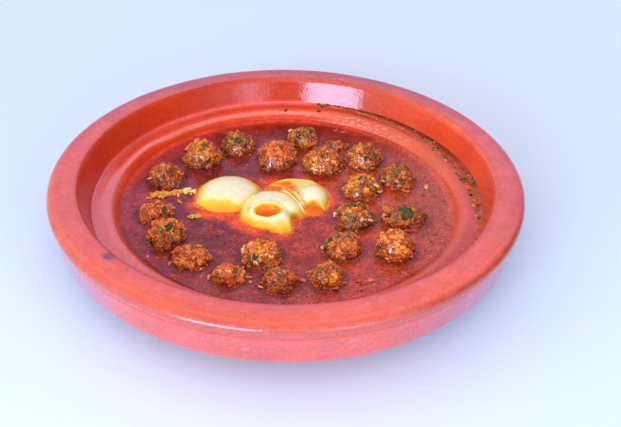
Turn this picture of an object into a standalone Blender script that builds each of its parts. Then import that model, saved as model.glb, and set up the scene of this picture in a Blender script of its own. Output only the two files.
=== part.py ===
"""Glazed earthenware tagine base filled with meatballs and poached eggs in a
thin sauce.  Metres, +Z up, origin at the centre of the foot's underside.
+X runs across the dish, -Y is the side that faces the diner."""
import bpy
import bmesh
import math
from mathutils import Vector, noise

for ob in list(bpy.data.objects):
    bpy.data.objects.remove(ob, do_unlink=True)

MM = 0.001
GAP = 0.35 * MM               # clearance between neighbouring pieces

# ---------------------------------------------------------------- dish sizes
RIM_R = 160.0 * MM            # widest radius, at the rim's rounded edge
RIM_Z = 53.4 * MM             # top of the rim = height of the whole dish
RIM_INNER_R = 140.0 * MM      # rim's inner edge
EDGE_ROUND = 4.2 * MM         # rounding of the rim's outer edge
WALL_R = 157.3 * MM           # outer wall just below the rim, set in a little
SEAT_R = 133.4 * MM           # where the inner wall meets the lid seat
SEAT_Z = 34.0 * MM            # height of the lid seat there
LIP_R = 121.5 * MM            # rounded inner lip of the lid seat
LIP_Z = 35.3 * MM
LIP_ROUND = 1.8 * MM
FLOOR_R = 84.0 * MM           # flat part of the bowl's floor
FLOOR_Z = 12.0 * MM
FOOT_R = 104.0 * MM           # outer radius of the foot ring
FOOT_W = 9.0 * MM             # its width
FOOT_H = 2.5 * MM             # its height
WALL_LOW_Z = 25.0 * MM        # where the outer wall starts to turn under
SEGMENTS = 56

SAUCE_Z = 27.8 * MM           # level of the sauce
BOWL_LIP = (119.3 * MM, 33.6 * MM)   # bowl wall just below the lip
BOWL_TURN = 60                # slope of the bowl wall there, degrees

# ------------------------------------------------------------------ contents
# every meatball: x, y, half width along x, half width along y, height of its
# top above the sauce, turn about z in degrees (all lengths in mm)
MEATBALLS = [
    (-63.1, 53.0, 14.4, 14.8, 15.5, 20),
    (-37.5, 71.9, 14.0, 13.4, 12.5, 65),
    (-8.1, 53.1, 14.6, 15.0, 15.5, 110),
    (11.1, 81.7, 12.6, 12.0, 11.5, 10),
    (25.9, 47.0, 14.6, 13.7, 14.0, 200),
    (36.0, 74.0, 12.4, 11.8, 5.0, 75),
    (56.4, 54.7, 14.4, 13.6, 13.5, 150),
    (79.2, 27.2, 12.6, 12.5, 13.5, 35),
    (51.8, 12.8, 14.4, 13.8, 12.5, 300),
    (45.6, -22.5, 13.9, 13.3, 12.5, 250),
    (79.0, -21.9, 16.8, 12.4, 10.5, 0),
    (70.2, -57.6, 13.2, 12.9, 15.5, 80),
    (36.1, -55.9, 13.3, 12.7, 11.5, 130),
    (24.8, -86.9, 11.0, 10.9, 11.0, 170),
    (-4.0, -91.0, 12.5, 11.2, 9.5, 0),
    (-16.0, -65.2, 14.0, 12.9, 11.5, 0),
    (-35.4, -84.2, 12.2, 10.6, 8.0, 0),
    (-60.0, -68.7, 13.6, 12.2, 9.5, 0),
    (-78.8, -44.8, 13.2, 12.8, 13.0, 40),
    (-89.0, -19.6, 13.6, 11.6, 9.5, 0),
    (-86.3, 25.2, 13.4, 12.9, 13.0, 95),
]
BALL_SEGMENTS, BALL_RINGS = 10, 7
BALL_FLATNESS = 0.95          # half height over half width
BALL_LUMPS = 0.055            # unevenness as a share of the radius

# poached eggs: name, x, y, half width, half depth, height above the sauce,
# depth below it, turn, dimple (x, y, radius, depth) in the egg's own frame
EGGS = [
    ("egg_front", -11.8, -13.0, 21.5, 22.5, 9.6, 8.0, 0, (-2.0, 1.0, 8.0, 4.2)),
    ("egg_left", -40.0, 7.5, 22.4, 19.8, 9.4, 9.0, 8, None),
    ("egg_right", 7.0, 6.0, 22.6, 20.6, 9.6, 9.0, -10, (14.0, -11.5, 6.0, 3.0)),
]
EGG_SEGMENTS, EGG_RINGS = 16, 9

# small loose pieces: name, x, y, half length, half width, height above the
# sauce, depth below it, turn
SCRAPS = [
    ("egg_shred", -80.0, 7.4, 14.5, 4.2, 3.0, 3.0, 12),
    ("egg_bit", -62.4, -20.4, 4.6, 2.9, 2.4, 2.2, 5),
    ("tomato_piece", 49.3, -88.3, 6.6, 4.4, 1.5, 2.6, 15),
]


def arc(cr, cz, radius, start, end, steps):
    """Points on a circle about (cr, cz), angles in degrees."""
    out = []
    for i in range(steps + 1):
        a = math.radians(start + (end - start) * i / steps)
        out.append((cr + radius * math.cos(a), cz + radius * math.sin(a)))
    return out


def bowl_wall(t):
    """Inner bowl from the floor's edge (t = 0) to just below the lip (t = 1),
    part of an ellipse that leaves the floor level."""
    r0, z0 = FLOOR_R, FLOOR_Z
    r1, z1 = BOWL_LIP
    full = math.radians(BOWL_TURN)
    a = t * full
    return (r0 + (r1 - r0) * math.sin(a) / math.sin(full),
            z0 + (z1 - z0) * (1 - math.cos(a)) / (1 - math.cos(full)))


BOWL_STEPS = (0.0, 0.35, 0.7, 1.0)


def bowl_radius(z):
    """Radius of the bowl's inner wall, as built in steps, at height z."""
    steps = [bowl_wall(t) for t in BOWL_STEPS]
    for (r0, z0), (r1, z1) in zip(steps, steps[1:]):
        if z0 <= z <= z1:
            return r0 + (r1 - r0) * (z - z0) / (z1 - z0)


def dish_profile():
    """Closed half section from the axis, over the inside, the rim and the
    outside, back to the axis."""
    inside = [(0.0, FLOOR_Z)]
    inside += [bowl_wall(t) for t in BOWL_STEPS]
    inside += arc(LIP_R, LIP_Z - LIP_ROUND, LIP_ROUND, 165, 80, 2)
    inside += [(SEAT_R, SEAT_Z)]
    inside += [(RIM_INNER_R - 0.8 * MM, RIM_Z - 4.0 * MM),
               (RIM_INNER_R + 1.0 * MM, RIM_Z - 0.5 * MM),
               (RIM_INNER_R + 6.0 * MM, RIM_Z)]
    edge = arc(RIM_R - EDGE_ROUND, RIM_Z - 1.6 * MM - EDGE_ROUND, EDGE_ROUND, 80, -35, 4)
    wall = [(WALL_R, edge[-1][1] - 1.8 * MM),
            (WALL_R + 0.2 * MM, (RIM_Z + WALL_LOW_Z) / 2 - 4 * MM),
            (WALL_R - 0.8 * MM, WALL_LOW_Z)]
    # underside: turns in below the wall and runs to the foot ring
    under = [(WALL_R - 4.2 * MM, WALL_LOW_Z - 4.9 * MM),
             (WALL_R - 10.0 * MM, WALL_LOW_Z - 8.2 * MM),
             (FOOT_R + 22.0 * MM, FOOT_H + 8.0 * MM),
             (FOOT_R + 1.5 * MM, FOOT_H)]
    foot = [(FOOT_R, 0.0), (FOOT_R - FOOT_W, 0.0),
            (FOOT_R - FOOT_W - 1.5 * MM, FOOT_H), (0.0, FOOT_H)]
    return inside + edge + wall + under + foot


def sauce_profile():
    """Half section of the sauce: the flat top, then the bowl's inner shape
    set in by the clearance."""
    top = [(0.0, SAUCE_Z), (bowl_radius(SAUCE_Z) - GAP, SAUCE_Z)]
    low = []
    for t in reversed(BOWL_STEPS[:-1]):
        r, z = bowl_wall(t)
        low.append((r - GAP, z + GAP))
    return top + low + [(0.0, FLOOR_Z + GAP)]


def material(name, colour, roughness, metallic=0.0):
    m = bpy.data.materials.get(name)
    if m is None:
        m = bpy.data.materials.new(name)
        m.use_nodes = True
        b = m.node_tree.nodes["Principled BSDF"]
        b.inputs["Base Color"].default_value = (*colour, 1.0)
        b.inputs["Roughness"].default_value = roughness
        b.inputs["Metallic"].default_value = metallic
    return m


def add(name, mesh, mat, smooth_angle=40):
    ob = bpy.data.objects.new(name, mesh)
    bpy.context.scene.collection.objects.link(ob)
    mesh.materials.clear()
    mesh.materials.append(mat)
    mesh.shade_smooth()
    mesh.set_sharp_from_angle(angle=math.radians(smooth_angle))
    return ob


def revolve(name, profile, mat):
    """Closed body turned about Z from a half section that starts and ends on
    the axis and runs over the top outwards."""
    bm = bmesh.new()
    rings = []
    for r, z in profile:
        if r < 1e-9:
            rings.append([bm.verts.new((0.0, 0.0, z))])
        else:
            rings.append([bm.verts.new((r * math.cos(2 * math.pi * i / SEGMENTS),
                                        r * math.sin(2 * math.pi * i / SEGMENTS), z))
                          for i in range(SEGMENTS)])
    for a, b in zip(rings, rings[1:]):
        for i in range(SEGMENTS):
            j = (i + 1) % SEGMENTS
            if len(a) == 1:
                bm.faces.new((a[0], b[i], b[j]))
            elif len(b) == 1:
                bm.faces.new((a[i], b[0], a[j]))
            else:
                bm.faces.new((a[i], b[i], b[j], a[j]))
    bmesh.ops.recalc_face_normals(bm, faces=bm.faces)
    me = bpy.data.meshes.new(name)
    bm.to_mesh(me)
    bm.free()
    return add(name, me, mat)


def lumpy(seed, point, amount, size):
    """Smooth unevenness about 1 for a point on the unit sphere."""
    return 1.0 + amount * noise.noise(Vector(point) * size + Vector((seed * 7.3, seed * 3.1, 0.7)))


def ball_mesh(name, half_x, half_y, top, bottom, turn, seed, segs, rings,
              lumps, size=1.6, dimple=None, grow=0.0):
    """Uneven ball with its widest place at z = 0, `top` above it and `bottom`
    below it; `grow` moves the surface out, for a cutter."""
    bm = bmesh.new()
    bmesh.ops.create_uvsphere(bm, u_segments=segs, v_segments=rings, radius=1.0)
    for v in bm.verts:
        n = v.co.normalized()
        k = lumpy(seed, n, lumps, size)
        x, y = n.x * half_x * k, n.y * half_y * k
        z = n.z * (top if n.z > 0 else bottom) * (1 + (k - 1) * 0.7)
        if dimple and n.z > 0:
            dx, dy, dr, dd = dimple
            z -= dd * math.exp(-(((x - dx) ** 2 + (y - dy) ** 2) / dr ** 2)) * min(1.0, n.z * 2)
        v.co = (x, y, z)
    bm.normal_update()
    if grow:
        for v, n in [(v, v.normal.copy()) for v in bm.verts]:
            v.co += n * grow
    a = math.radians(turn)
    for v in bm.verts:
        x, y = v.co.x, v.co.y
        v.co.x, v.co.y = x * math.cos(a) - y * math.sin(a), x * math.sin(a) + y * math.cos(a)
    me = bpy.data.meshes.new(name)
    bm.to_mesh(me)
    bm.free()
    return me


def cut(target, cutter_mesh, location, solver='EXACT'):
    """Take a cutter away from a body for good."""
    tool = bpy.data.objects.new("cutter", cutter_mesh)
    tool.location = location
    tool.hide_render = True
    tool.display_type = 'WIRE'
    bpy.context.scene.collection.objects.link(tool)
    mod = target.modifiers.new("clearance", 'BOOLEAN')
    mod.operation = 'DIFFERENCE'
    mod.solver = solver
    mod.object = tool
    bpy.context.view_layer.update()
    done = bpy.data.meshes.new_from_object(
        target.evaluated_get(bpy.context.evaluated_depsgraph_get()))
    target.modifiers.clear()
    # the finest slivers left along the cut are closed up
    bm = bmesh.new()
    bm.from_mesh(done)
    bmesh.ops.remove_doubles(bm, verts=bm.verts, dist=0.02 * MM)
    bm.to_mesh(done)
    bm.free()
    target.data = done
    bpy.data.objects.remove(tool, do_unlink=True)


# ---------------------------------------------------------------------- dish
terracotta = material("glazed_terracotta", (0.62, 0.12, 0.055), 0.22)
dish = revolve("dish", dish_profile(), terracotta)

# -------------------------------------------------------------------- sauce
sauce_mat = material("oily_tomato_sauce", (0.22, 0.035, 0.02), 0.12)
sauce = revolve("sauce", sauce_profile(), sauce_mat)

# --------------------------------------------------------------------- eggs
white = material("poached_egg", (0.87, 0.74, 0.46), 0.25)
placed = []
for k, (name, x, y, hx, hy, up, down, turn, dimple) in enumerate(EGGS):
    hx, hy, up, down = hx * MM, hy * MM, up * MM, down * MM
    if dimple:
        dimple = tuple(v * MM for v in dimple)
    place = (x * MM, y * MM, SAUCE_Z)
    args = (hx, hy, up, down, turn, 60 + k * 5, EGG_SEGMENTS, EGG_RINGS, 0.05, 1.3, dimple)
    ob = add(name, ball_mesh(name, *args), white, 60)
    ob.location = place
    grown = ball_mesh("socket", *args, grow=GAP * 1.4)
    # each egg gives way to those placed before it
    for other_mesh, other_place in placed:
        cut(ob, other_mesh.copy(), other_place)
    cut(sauce, grown.copy(), place, 'MANIFOLD')
    placed.append((grown, place))

# ---------------------------------------------------------------- meatballs
meat = material("cooked_meat", (0.30, 0.11, 0.03), 0.55)
for i, (x, y, hx, hy, top, turn) in enumerate(MEATBALLS, 1):
    hx, hy, top = hx * MM, hy * MM, top * MM
    half_h = min(hx, hy) * BALL_FLATNESS + 0.4 * MM
    centre = SAUCE_Z + top - half_h
    below = min(half_h, centre - (FLOOR_Z + 2.4 * MM))
    place = (x * MM, y * MM, centre)
    seed = 11 + i
    # widths are given along x and y of the dish, so the ball is lumped in
    # its own frame and only its unevenness differs from ball to ball
    args = (hx, hy, half_h, below, 0, seed + turn * 0.01, BALL_SEGMENTS, BALL_RINGS, BALL_LUMPS)
    name = "meatball_%02d" % i
    ob = add(name, ball_mesh(name, *args), meat, 60)
    ob.location = place
    cut(sauce, ball_mesh("socket", *args, grow=GAP * 1.4), place)

# -------------------------------------------------------------- loose pieces
tomato = material("tomato_flesh", (0.62, 0.09, 0.04), 0.3)
for k, (name, x, y, hx, hy, up, down, turn) in enumerate(SCRAPS):
    args = (hx * MM, hy * MM, up * MM, down * MM, turn, 90 + k * 3, 8, 6, 0.16, 1.8)
    place = (x * MM, y * MM, SAUCE_Z)
    ob = add(name, ball_mesh(name, *args), tomato if "tomato" in name else white, 60)
    ob.location = place
    cut(sauce, ball_mesh("socket", *args, grow=GAP * 1.4), place)

sauce.data.materials.clear()
sauce.data.materials.append(sauce_mat)
for ob in bpy.data.objects:
    if ob.name.startswith("egg_"):
        ob.data.materials.clear()
        ob.data.materials.append(white)
    ob.data.shade_smooth()
    ob.data.set_sharp_from_angle(angle=math.radians(50))
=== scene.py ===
"""Looks for the filled tagine base: glazed earthenware dish, thin tomato sauce,
minced-meat balls, poached eggs, herbs and scraps.  Everything is built round
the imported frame, in metres; numbers in millimetres carry the factor MM."""
import math
import bpy
import bmesh
import numpy as np
from mathutils import Matrix, Vector
from mathutils.bvhtree import BVHTree


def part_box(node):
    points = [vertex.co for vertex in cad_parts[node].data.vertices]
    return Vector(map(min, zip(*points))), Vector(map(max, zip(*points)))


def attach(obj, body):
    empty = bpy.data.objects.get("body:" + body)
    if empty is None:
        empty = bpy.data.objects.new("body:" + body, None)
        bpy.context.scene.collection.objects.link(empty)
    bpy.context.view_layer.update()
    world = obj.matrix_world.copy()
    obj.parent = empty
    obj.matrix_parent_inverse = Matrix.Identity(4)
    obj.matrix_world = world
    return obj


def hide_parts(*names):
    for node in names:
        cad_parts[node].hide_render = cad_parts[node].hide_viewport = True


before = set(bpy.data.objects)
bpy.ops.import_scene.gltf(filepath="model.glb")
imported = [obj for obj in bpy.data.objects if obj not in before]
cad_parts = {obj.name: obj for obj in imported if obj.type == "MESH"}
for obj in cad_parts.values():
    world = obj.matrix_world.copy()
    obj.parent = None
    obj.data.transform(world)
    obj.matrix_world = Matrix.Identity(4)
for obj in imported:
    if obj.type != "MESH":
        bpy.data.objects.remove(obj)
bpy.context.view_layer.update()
MM = 0.001
F32 = np.float32


# ------------------------------------------------------------------ noise
def _hash(ix, iy, iz, seed):
    with np.errstate(over="ignore"):
        h = (ix.astype(np.int64).astype(np.uint32) * np.uint32(0x8DA6B343)
             ^ iy.astype(np.int64).astype(np.uint32) * np.uint32(0xD8163841)
             ^ iz.astype(np.int64).astype(np.uint32) * np.uint32(0xCB1AB31F)
             ^ np.uint32((seed * 0x9E3779B1) & 0xFFFFFFFF))
        h ^= h >> np.uint32(15); h *= np.uint32(0x2C1B3C6D)
        h ^= h >> np.uint32(12); h *= np.uint32(0x297A2D39)
        h ^= h >> np.uint32(15)
    return h


def _unit(h):
    return (h & np.uint32(0xFFFFFF)).astype(np.float64) / 16777216.0


def vnoise(p, seed=0):
    """Smooth value noise of points p (n, 3), from -1 to 1."""
    p = np.asarray(p, float)
    i = np.floor(p); f = p - i
    u = f * f * f * (f * (f * 6 - 15) + 10)
    out = 0.0
    for dx in (0, 1):
        wx = u[:, 0] if dx else 1 - u[:, 0]
        for dy in (0, 1):
            wy = u[:, 1] if dy else 1 - u[:, 1]
            for dz in (0, 1):
                wz = u[:, 2] if dz else 1 - u[:, 2]
                out = out + wx * wy * wz * _unit(_hash(i[:, 0] + dx, i[:, 1] + dy, i[:, 2] + dz, seed))
    return out * 2 - 1


def fbm(p, seed=0, octaves=3, gain=0.5):
    out, amp, tot = 0.0, 1.0, 0.0
    p = np.asarray(p, float)
    for k in range(octaves):
        out = out + amp * vnoise(p * 2.03 ** k + 17.3 * k, seed + 31 * k)
        tot += amp; amp *= gain
    return out / tot


def worley(p, seed=0, jitter=0.95):
    """Distances to the nearest and second nearest cell point, and the cell's number."""
    p = np.asarray(p, float)
    i = np.floor(p)
    f1 = np.full(len(p), 9.0); f2 = np.full(len(p), 9.0); cid = np.zeros(len(p), np.uint32)
    for dx in (-1, 0, 1):
        for dy in (-1, 0, 1):
            for dz in (-1, 0, 1):
                cx, cy, cz = i[:, 0] + dx, i[:, 1] + dy, i[:, 2] + dz
                h = _hash(cx, cy, cz, seed)
                qx = cx + 0.5 + jitter * (_unit(h) - 0.5)
                qy = cy + 0.5 + jitter * (_unit(h * np.uint32(747796405)) - 0.5)
                qz = cz + 0.5 + jitter * (_unit(h * np.uint32(2891336453)) - 0.5)
                d = np.sqrt((qx - p[:, 0]) ** 2 + (qy - p[:, 1]) ** 2 + (qz - p[:, 2]) ** 2)
                closer = d < f1
                f2 = np.where(closer, f1, np.minimum(f2, d))
                cid = np.where(closer, h, cid)
                f1 = np.where(closer, d, f1)
    return f1, f2, cid


def cell_rand(cid, k):
    with np.errstate(over="ignore"):
        h = cid * np.uint32(2654435761) + np.uint32(k * 40503 + 977)
        h ^= h >> np.uint32(13); h *= np.uint32(0x5BD1E995); h ^= h >> np.uint32(15)
    return _unit(h)


def sstep(a, b, x):
    t = np.clip((np.asarray(x, float) - a) / (b - a), 0, 1)
    return t * t * (3 - 2 * t)


def gauss(d, w):
    return np.exp(-(d / w) ** 2)


def mixc(a, b, t):
    """Blend colours a and b, each (3,) or (n, 3), by t (n,)."""
    t = np.clip(np.asarray(t, float), 0, 1)[:, None]
    return np.asarray(a, float) * (1 - t) + np.asarray(b, float) * t


def seg_dist(x, y, pts):
    """Distance from (x, y) to an open run of points."""
    best = np.full(len(x), 1e9)
    for (ax, ay), (bx, by) in zip(pts, pts[1:]):
        dx, dy = bx - ax, by - ay
        t = np.clip(((x - ax) * dx + (y - ay) * dy) / (dx * dx + dy * dy), 0, 1)
        best = np.minimum(best, np.hypot(x - ax - t * dx, y - ay - t * dy))
    return best


def inside(x, y, pts):
    """True where (x, y) is inside the closed polygon pts."""
    c = np.zeros(len(x), bool)
    n = len(pts)
    for k in range(n):
        x0, y0 = pts[k]; x1, y1 = pts[(k + 1) % n]
        if y0 == y1:
            continue
        c ^= ((y0 > y) != (y1 > y)) & (x < (x1 - x0) * (y - y0) / (y1 - y0) + x0)
    return c


def poly_signed(x, y, pts):
    """Distance inside (positive) or outside (negative) a closed polygon."""
    d = seg_dist(x, y, list(pts) + [pts[0]])
    return np.where(inside(x, y, pts), d, -d)


# ------------------------------------------------------------------ meshes
def set_attr(me, name, values):
    values = np.asarray(values, float)
    if values.ndim == 2:
        a = me.color_attributes.new(name, "FLOAT_COLOR", "POINT")
        rgba = np.ones((len(values), 4), F32); rgba[:, :3] = np.clip(values, 0, 1)
        a.data.foreach_set("color", rgba.ravel())
    else:
        a = me.attributes.new(name, "FLOAT", "POINT")
        a.data.foreach_set("value", values.astype(F32))


def make(name, verts, faces, mat, attrs=None, node=None):
    me = bpy.data.meshes.new(name)
    verts = np.asarray(verts, float)
    if isinstance(faces, np.ndarray):
        n, k = faces.shape
        me.vertices.add(len(verts)); me.vertices.foreach_set("co", verts.astype(F32).ravel())
        me.loops.add(n * k); me.loops.foreach_set("vertex_index", faces.astype(np.int32).ravel())
        me.polygons.add(n)
        me.polygons.foreach_set("loop_start", np.arange(0, n * k, k, dtype=np.int32))
        me.update(calc_edges=True)
    else:
        me.from_pydata(verts.tolist(), [], faces)
    me.validate()
    me.polygons.foreach_set("use_smooth", np.ones(len(me.polygons), bool))
    for k, v in (attrs or {}).items():
        set_attr(me, k, v)
    me.materials.append(mat)
    me.update()
    ob = bpy.data.objects.new(name, me)
    bpy.context.scene.collection.objects.link(ob)
    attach(ob, "root")
    if node:
        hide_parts(*([node] if isinstance(node, str) else node))
    return ob


def grid_faces(nr, nt, closed=True):
    """Quads of a grid of nr rows and nt columns; columns wrap when closed."""
    r = np.arange(nr - 1)[:, None]; t = np.arange(nt if closed else nt - 1)[None, :]
    t2 = (t + 1) % nt
    a = r * nt + t; b = r * nt + t2; c = (r + 1) * nt + t2; d = (r + 1) * nt + t
    return np.stack([a, b, c, d], -1).reshape(-1, 4)


def ico(sub):
    bm = bmesh.new()
    bmesh.ops.create_icosphere(bm, subdivisions=sub, radius=1.0)
    v = np.array([x.co[:] for x in bm.verts]); f = np.array([[y.index for y in x.verts] for x in bm.faces])
    bm.free()
    return v / np.linalg.norm(v, axis=1)[:, None], f


def normals(v, f):
    n = np.zeros_like(v)
    a = v[f[:, 0]]; fn = np.cross(v[f[:, 1]] - a, v[f[:, 2]] - a)
    for k in range(f.shape[1]):
        np.add.at(n, f[:, k], fn)
    return n / np.maximum(np.linalg.norm(n, axis=1), 1e-20)[:, None]


def tree_of(v, f):
    return BVHTree.FromPolygons(v.tolist(), f.tolist())


# --------------------------------------------------------------- materials
class Nodes:
    def __init__(self, name):
        self.mat = bpy.data.materials.new(name)
        self.mat.use_nodes = True
        self.nt = self.mat.node_tree
        self.nt.nodes.clear()
        self.out = self.nt.nodes.new("ShaderNodeOutputMaterial")
        self.bsdf = self.nt.nodes.new("ShaderNodeBsdfPrincipled")
        self.nt.links.new(self.bsdf.outputs[0], self.out.inputs["Surface"])
        self.coord = self.nt.nodes.new("ShaderNodeTexCoord").outputs["Object"]

    def put(self, socket, value):
        s = self.bsdf.inputs[socket]
        if hasattr(value, "is_linked"):
            self.nt.links.new(value, s)
        else:
            s.default_value = value
        return self

    def link(self, value, socket):
        if hasattr(value, "is_linked"):
            self.nt.links.new(value, socket)
        else:
            socket.default_value = value

    def attr(self, name, out="Color"):
        n = self.nt.nodes.new("ShaderNodeAttribute"); n.attribute_name = name
        return n.outputs[out]

    def noise(self, scale, detail=3, rough=0.5, dist=0.0):
        n = self.nt.nodes.new("ShaderNodeTexNoise")
        n.inputs["Scale"].default_value = scale; n.inputs["Detail"].default_value = detail
        n.inputs["Roughness"].default_value = rough; n.inputs["Distortion"].default_value = dist
        self.nt.links.new(self.coord, n.inputs["Vector"])
        return n.outputs["Fac"]

    def voronoi(self, scale, feature="F1"):
        n = self.nt.nodes.new("ShaderNodeTexVoronoi"); n.feature = feature
        n.inputs["Scale"].default_value = scale
        self.nt.links.new(self.coord, n.inputs["Vector"])
        return n.outputs["Distance"]

    def rng(self, x, a, b, c, d):
        n = self.nt.nodes.new("ShaderNodeMapRange"); n.clamp = True
        self.link(x, n.inputs["Value"])
        for k, v in zip(("From Min", "From Max", "To Min", "To Max"), (a, b, c, d)):
            n.inputs[k].default_value = v
        return n.outputs["Result"]

    def math(self, op, a, b=0.0):
        n = self.nt.nodes.new("ShaderNodeMath"); n.operation = op
        self.link(a, n.inputs[0]); self.link(b, n.inputs[1])
        return n.outputs[0]

    def mix(self, a, b, fac, mode="MIX"):
        n = self.nt.nodes.new("ShaderNodeMix"); n.data_type = "RGBA"; n.blend_type = mode
        self.link(fac, n.inputs[0]); self.link(a, n.inputs[6]); self.link(b, n.inputs[7])
        return n.outputs[2]

    def scale_colour(self, col, k):
        """Colour times a grey number."""
        n = self.nt.nodes.new("ShaderNodeVectorMath"); n.operation = "SCALE"
        self.link(col, n.inputs[0]); self.link(k, n.inputs["Scale"])
        return n.outputs[0]

    def bump(self, height, strength, distance, normal=None):
        n = self.nt.nodes.new("ShaderNodeBump")
        n.inputs["Strength"].default_value = strength; n.inputs["Distance"].default_value = distance
        self.link(height, n.inputs["Height"])
        if normal is not None:
            self.link(normal, n.inputs["Normal"])
        return n.outputs["Normal"]


def rgba(r, g, b):
    return (r, g, b, 1.0)


def glaze_material():
    m = Nodes("glazed_terracotta_look")
    col = m.attr("Col")
    broad = m.rng(m.noise(38, 3, 0.55), 0.3, 0.7, 0.9, 1.09)
    fine = m.rng(m.noise(420, 4, 0.65), 0.3, 0.7, 0.87, 1.12)
    col = m.scale_colour(col, m.math("MULTIPLY", broad, fine))
    spots = m.rng(m.noise(900, 2, 0.5), 0.62, 0.72, 0.0, 0.35)
    col = m.mix(col, rgba(0.36, 0.024, 0.012), spots)
    pale = m.math("MULTIPLY", m.rng(m.noise(780, 3, 0.55), 0.62, 0.72, 0.0, 0.30), m.attr("Gloss", "Fac"))
    col = m.mix(col, rgba(0.90, 0.30, 0.24), pale)
    m.put("Base Color", col)
    r = m.attr("Rough", "Fac")
    m.put("Roughness", m.math("ADD", r, m.rng(m.noise(160, 4, 0.6), 0.3, 0.7, -0.05, 0.09)))
    m.put("IOR", 1.5).put("Specular IOR Level", 0.08)
    m.put("Coat Weight", m.attr("Gloss", "Fac")).put("Coat Roughness", 0.095).put("Coat IOR", 1.52)
    n1 = m.bump(m.noise(130, 4, 0.55), 0.16, 0.0010)
    m.put("Normal", m.bump(m.noise(1100, 3, 0.6), 0.16, 0.0002, n1))
    wavy = m.bump(m.noise(75, 3, 0.6), 0.30, 0.0012)
    m.put("Coat Normal", m.bump(m.noise(620, 3, 0.6), 0.34, 0.00028, wavy))
    return m.mat


def sauce_material():
    m = Nodes("tomato_sauce_look")
    col = m.attr("Col")
    grain = m.rng(m.noise(620, 4, 0.7), 0.30, 0.70, 0.42, 1.65)
    broad = m.rng(m.noise(190, 3, 0.6, 0.6), 0.3, 0.7, 0.72, 1.3)
    calm = m.attr("Gloss", "Fac")
    grain = m.math("ADD", m.math("MULTIPLY", grain, calm), m.math("SUBTRACT", 1.0, calm))
    col = m.scale_colour(col, m.math("MULTIPLY", grain, broad))
    fat = m.rng(m.noise(1050, 3, 0.6), 0.56, 0.68, 0.0, 0.75)
    fat = m.math("MULTIPLY", fat, m.attr("Speck", "Fac"))
    col = m.mix(col, rgba(0.88, 0.235, 0.055), fat)
    deep = m.math("MULTIPLY", m.rng(m.noise(760, 3, 0.6, 0.4), 0.40, 0.30, 0.0, 0.6), calm)
    col = m.mix(col, rgba(0.075, 0.008, 0.006), deep)
    m.put("Base Color", col)
    m.put("Roughness", m.math("ADD", m.attr("Rough", "Fac"), m.rng(m.noise(600, 3, 0.6), 0.3, 0.7, -0.03, 0.05)))
    m.put("IOR", 1.34).put("Specular IOR Level", 0.06)
    m.put("Coat Weight", m.attr("Gloss", "Fac")).put("Coat Roughness", 0.10).put("Coat IOR", 1.34)
    n1 = m.bump(m.noise(260, 4, 0.6), 0.22, 0.0008)
    n2 = m.bump(m.noise(1200, 3, 0.6), 0.25, 0.00025, n1)
    m.put("Normal", n2).put("Coat Normal", n2)
    return m.mat


def meat_material():
    m = Nodes("cooked_mince_look")
    col = m.attr("Col")
    g = m.rng(m.noise(900, 4, 0.6), 0.28, 0.72, 0.62, 1.4)
    col = m.scale_colour(col, g)
    fat = m.rng(m.noise(1500, 2, 0.5), 0.60, 0.70, 0.0, 0.6)
    col = m.mix(col, rgba(0.92, 0.56, 0.20), fat)
    m.put("Base Color", col)
    m.put("Roughness", m.math("ADD", m.attr("Rough", "Fac"), m.rng(m.noise(1200, 3, 0.6), 0.3, 0.7, -0.1, 0.14)))
    m.put("IOR", 1.42).put("Specular IOR Level", 0.05)
    juice = m.attr("Wet", "Fac")
    dry = m.math("SUBTRACT", 1.0, m.math("MULTIPLY", juice, 0.8))
    wet = m.math("MAXIMUM", m.rng(m.noise(330, 3, 0.6), 0.48, 0.60, 0.22, 1.0), juice)
    m.put("Coat Weight", wet).put("Coat Roughness", 0.06).put("Coat IOR", 1.62)
    n1 = m.bump(m.math("MULTIPLY", m.noise(1100, 4, 0.6), dry), 0.6, 0.00045)
    m.put("Normal", n1)
    m.put("Coat Normal", m.bump(m.math("MULTIPLY", m.noise(480, 2, 0.5), dry), 0.25, 0.0005))
    return m.mat


def egg_material():
    m = Nodes("poached_egg_look")
    col = m.attr("Col")
    g = m.rng(m.noise(240, 3, 0.5), 0.3, 0.7, 0.95, 1.03)
    col = m.scale_colour(col, g)
    m.put("Base Color", col)
    m.put("Roughness", m.rng(m.noise(500, 3, 0.5), 0.3, 0.7, 0.3, 0.46))
    m.put("IOR", 1.4).put("Specular IOR Level", 0.11)
    m.put("Subsurface Weight", 0.10).put("Subsurface Radius", (0.004, 0.0022, 0.0012)).put("Subsurface Scale", 0.5)
    m.put("Coat Weight", 0.1).put("Coat Roughness", 0.2)
    n1 = m.bump(m.noise(420, 3, 0.5), 0.22, 0.0006)
    m.put("Normal", m.bump(m.noise(150, 3, 0.6), 0.35, 0.0014, n1))
    return m.mat


def bits_material(name, rough, coat, grain=900, lo=0.75, hi=1.25, ior=1.4, sss=0.0):
    m = Nodes(name)
    g = m.rng(m.noise(grain, 3, 0.6), 0.3, 0.7, lo, hi)
    m.put("Base Color", m.scale_colour(m.attr("Col"), g))
    m.put("Roughness", m.rng(m.noise(1500, 2, 0.5), 0.3, 0.7, rough - 0.06, rough + 0.1))
    m.put("IOR", ior).put("Specular IOR Level", 0.12).put("Coat Weight", coat).put("Coat Roughness", 0.12)
    if sss:
        m.put("Subsurface Weight", sss).put("Subsurface Radius", (0.003, 0.0015, 0.0008)).put("Subsurface Scale", 0.4)
    m.put("Normal", m.bump(m.noise(1600, 3, 0.6), 0.3, 0.0003))
    return m.mat


GLAZE = glaze_material()
SAUCE = sauce_material()
MEAT = meat_material()
EGG = egg_material()
HERB = bits_material("chopped_herb_look", 0.38, 0.25)
ONION = bits_material("cooked_onion_look", 0.3, 0.4, sss=0.15)
TOMATO = bits_material("tomato_flesh_look", 0.28, 0.5, sss=0.1)
SPECK = bits_material("sauce_crumb_look", 0.32, 0.3)

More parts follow.
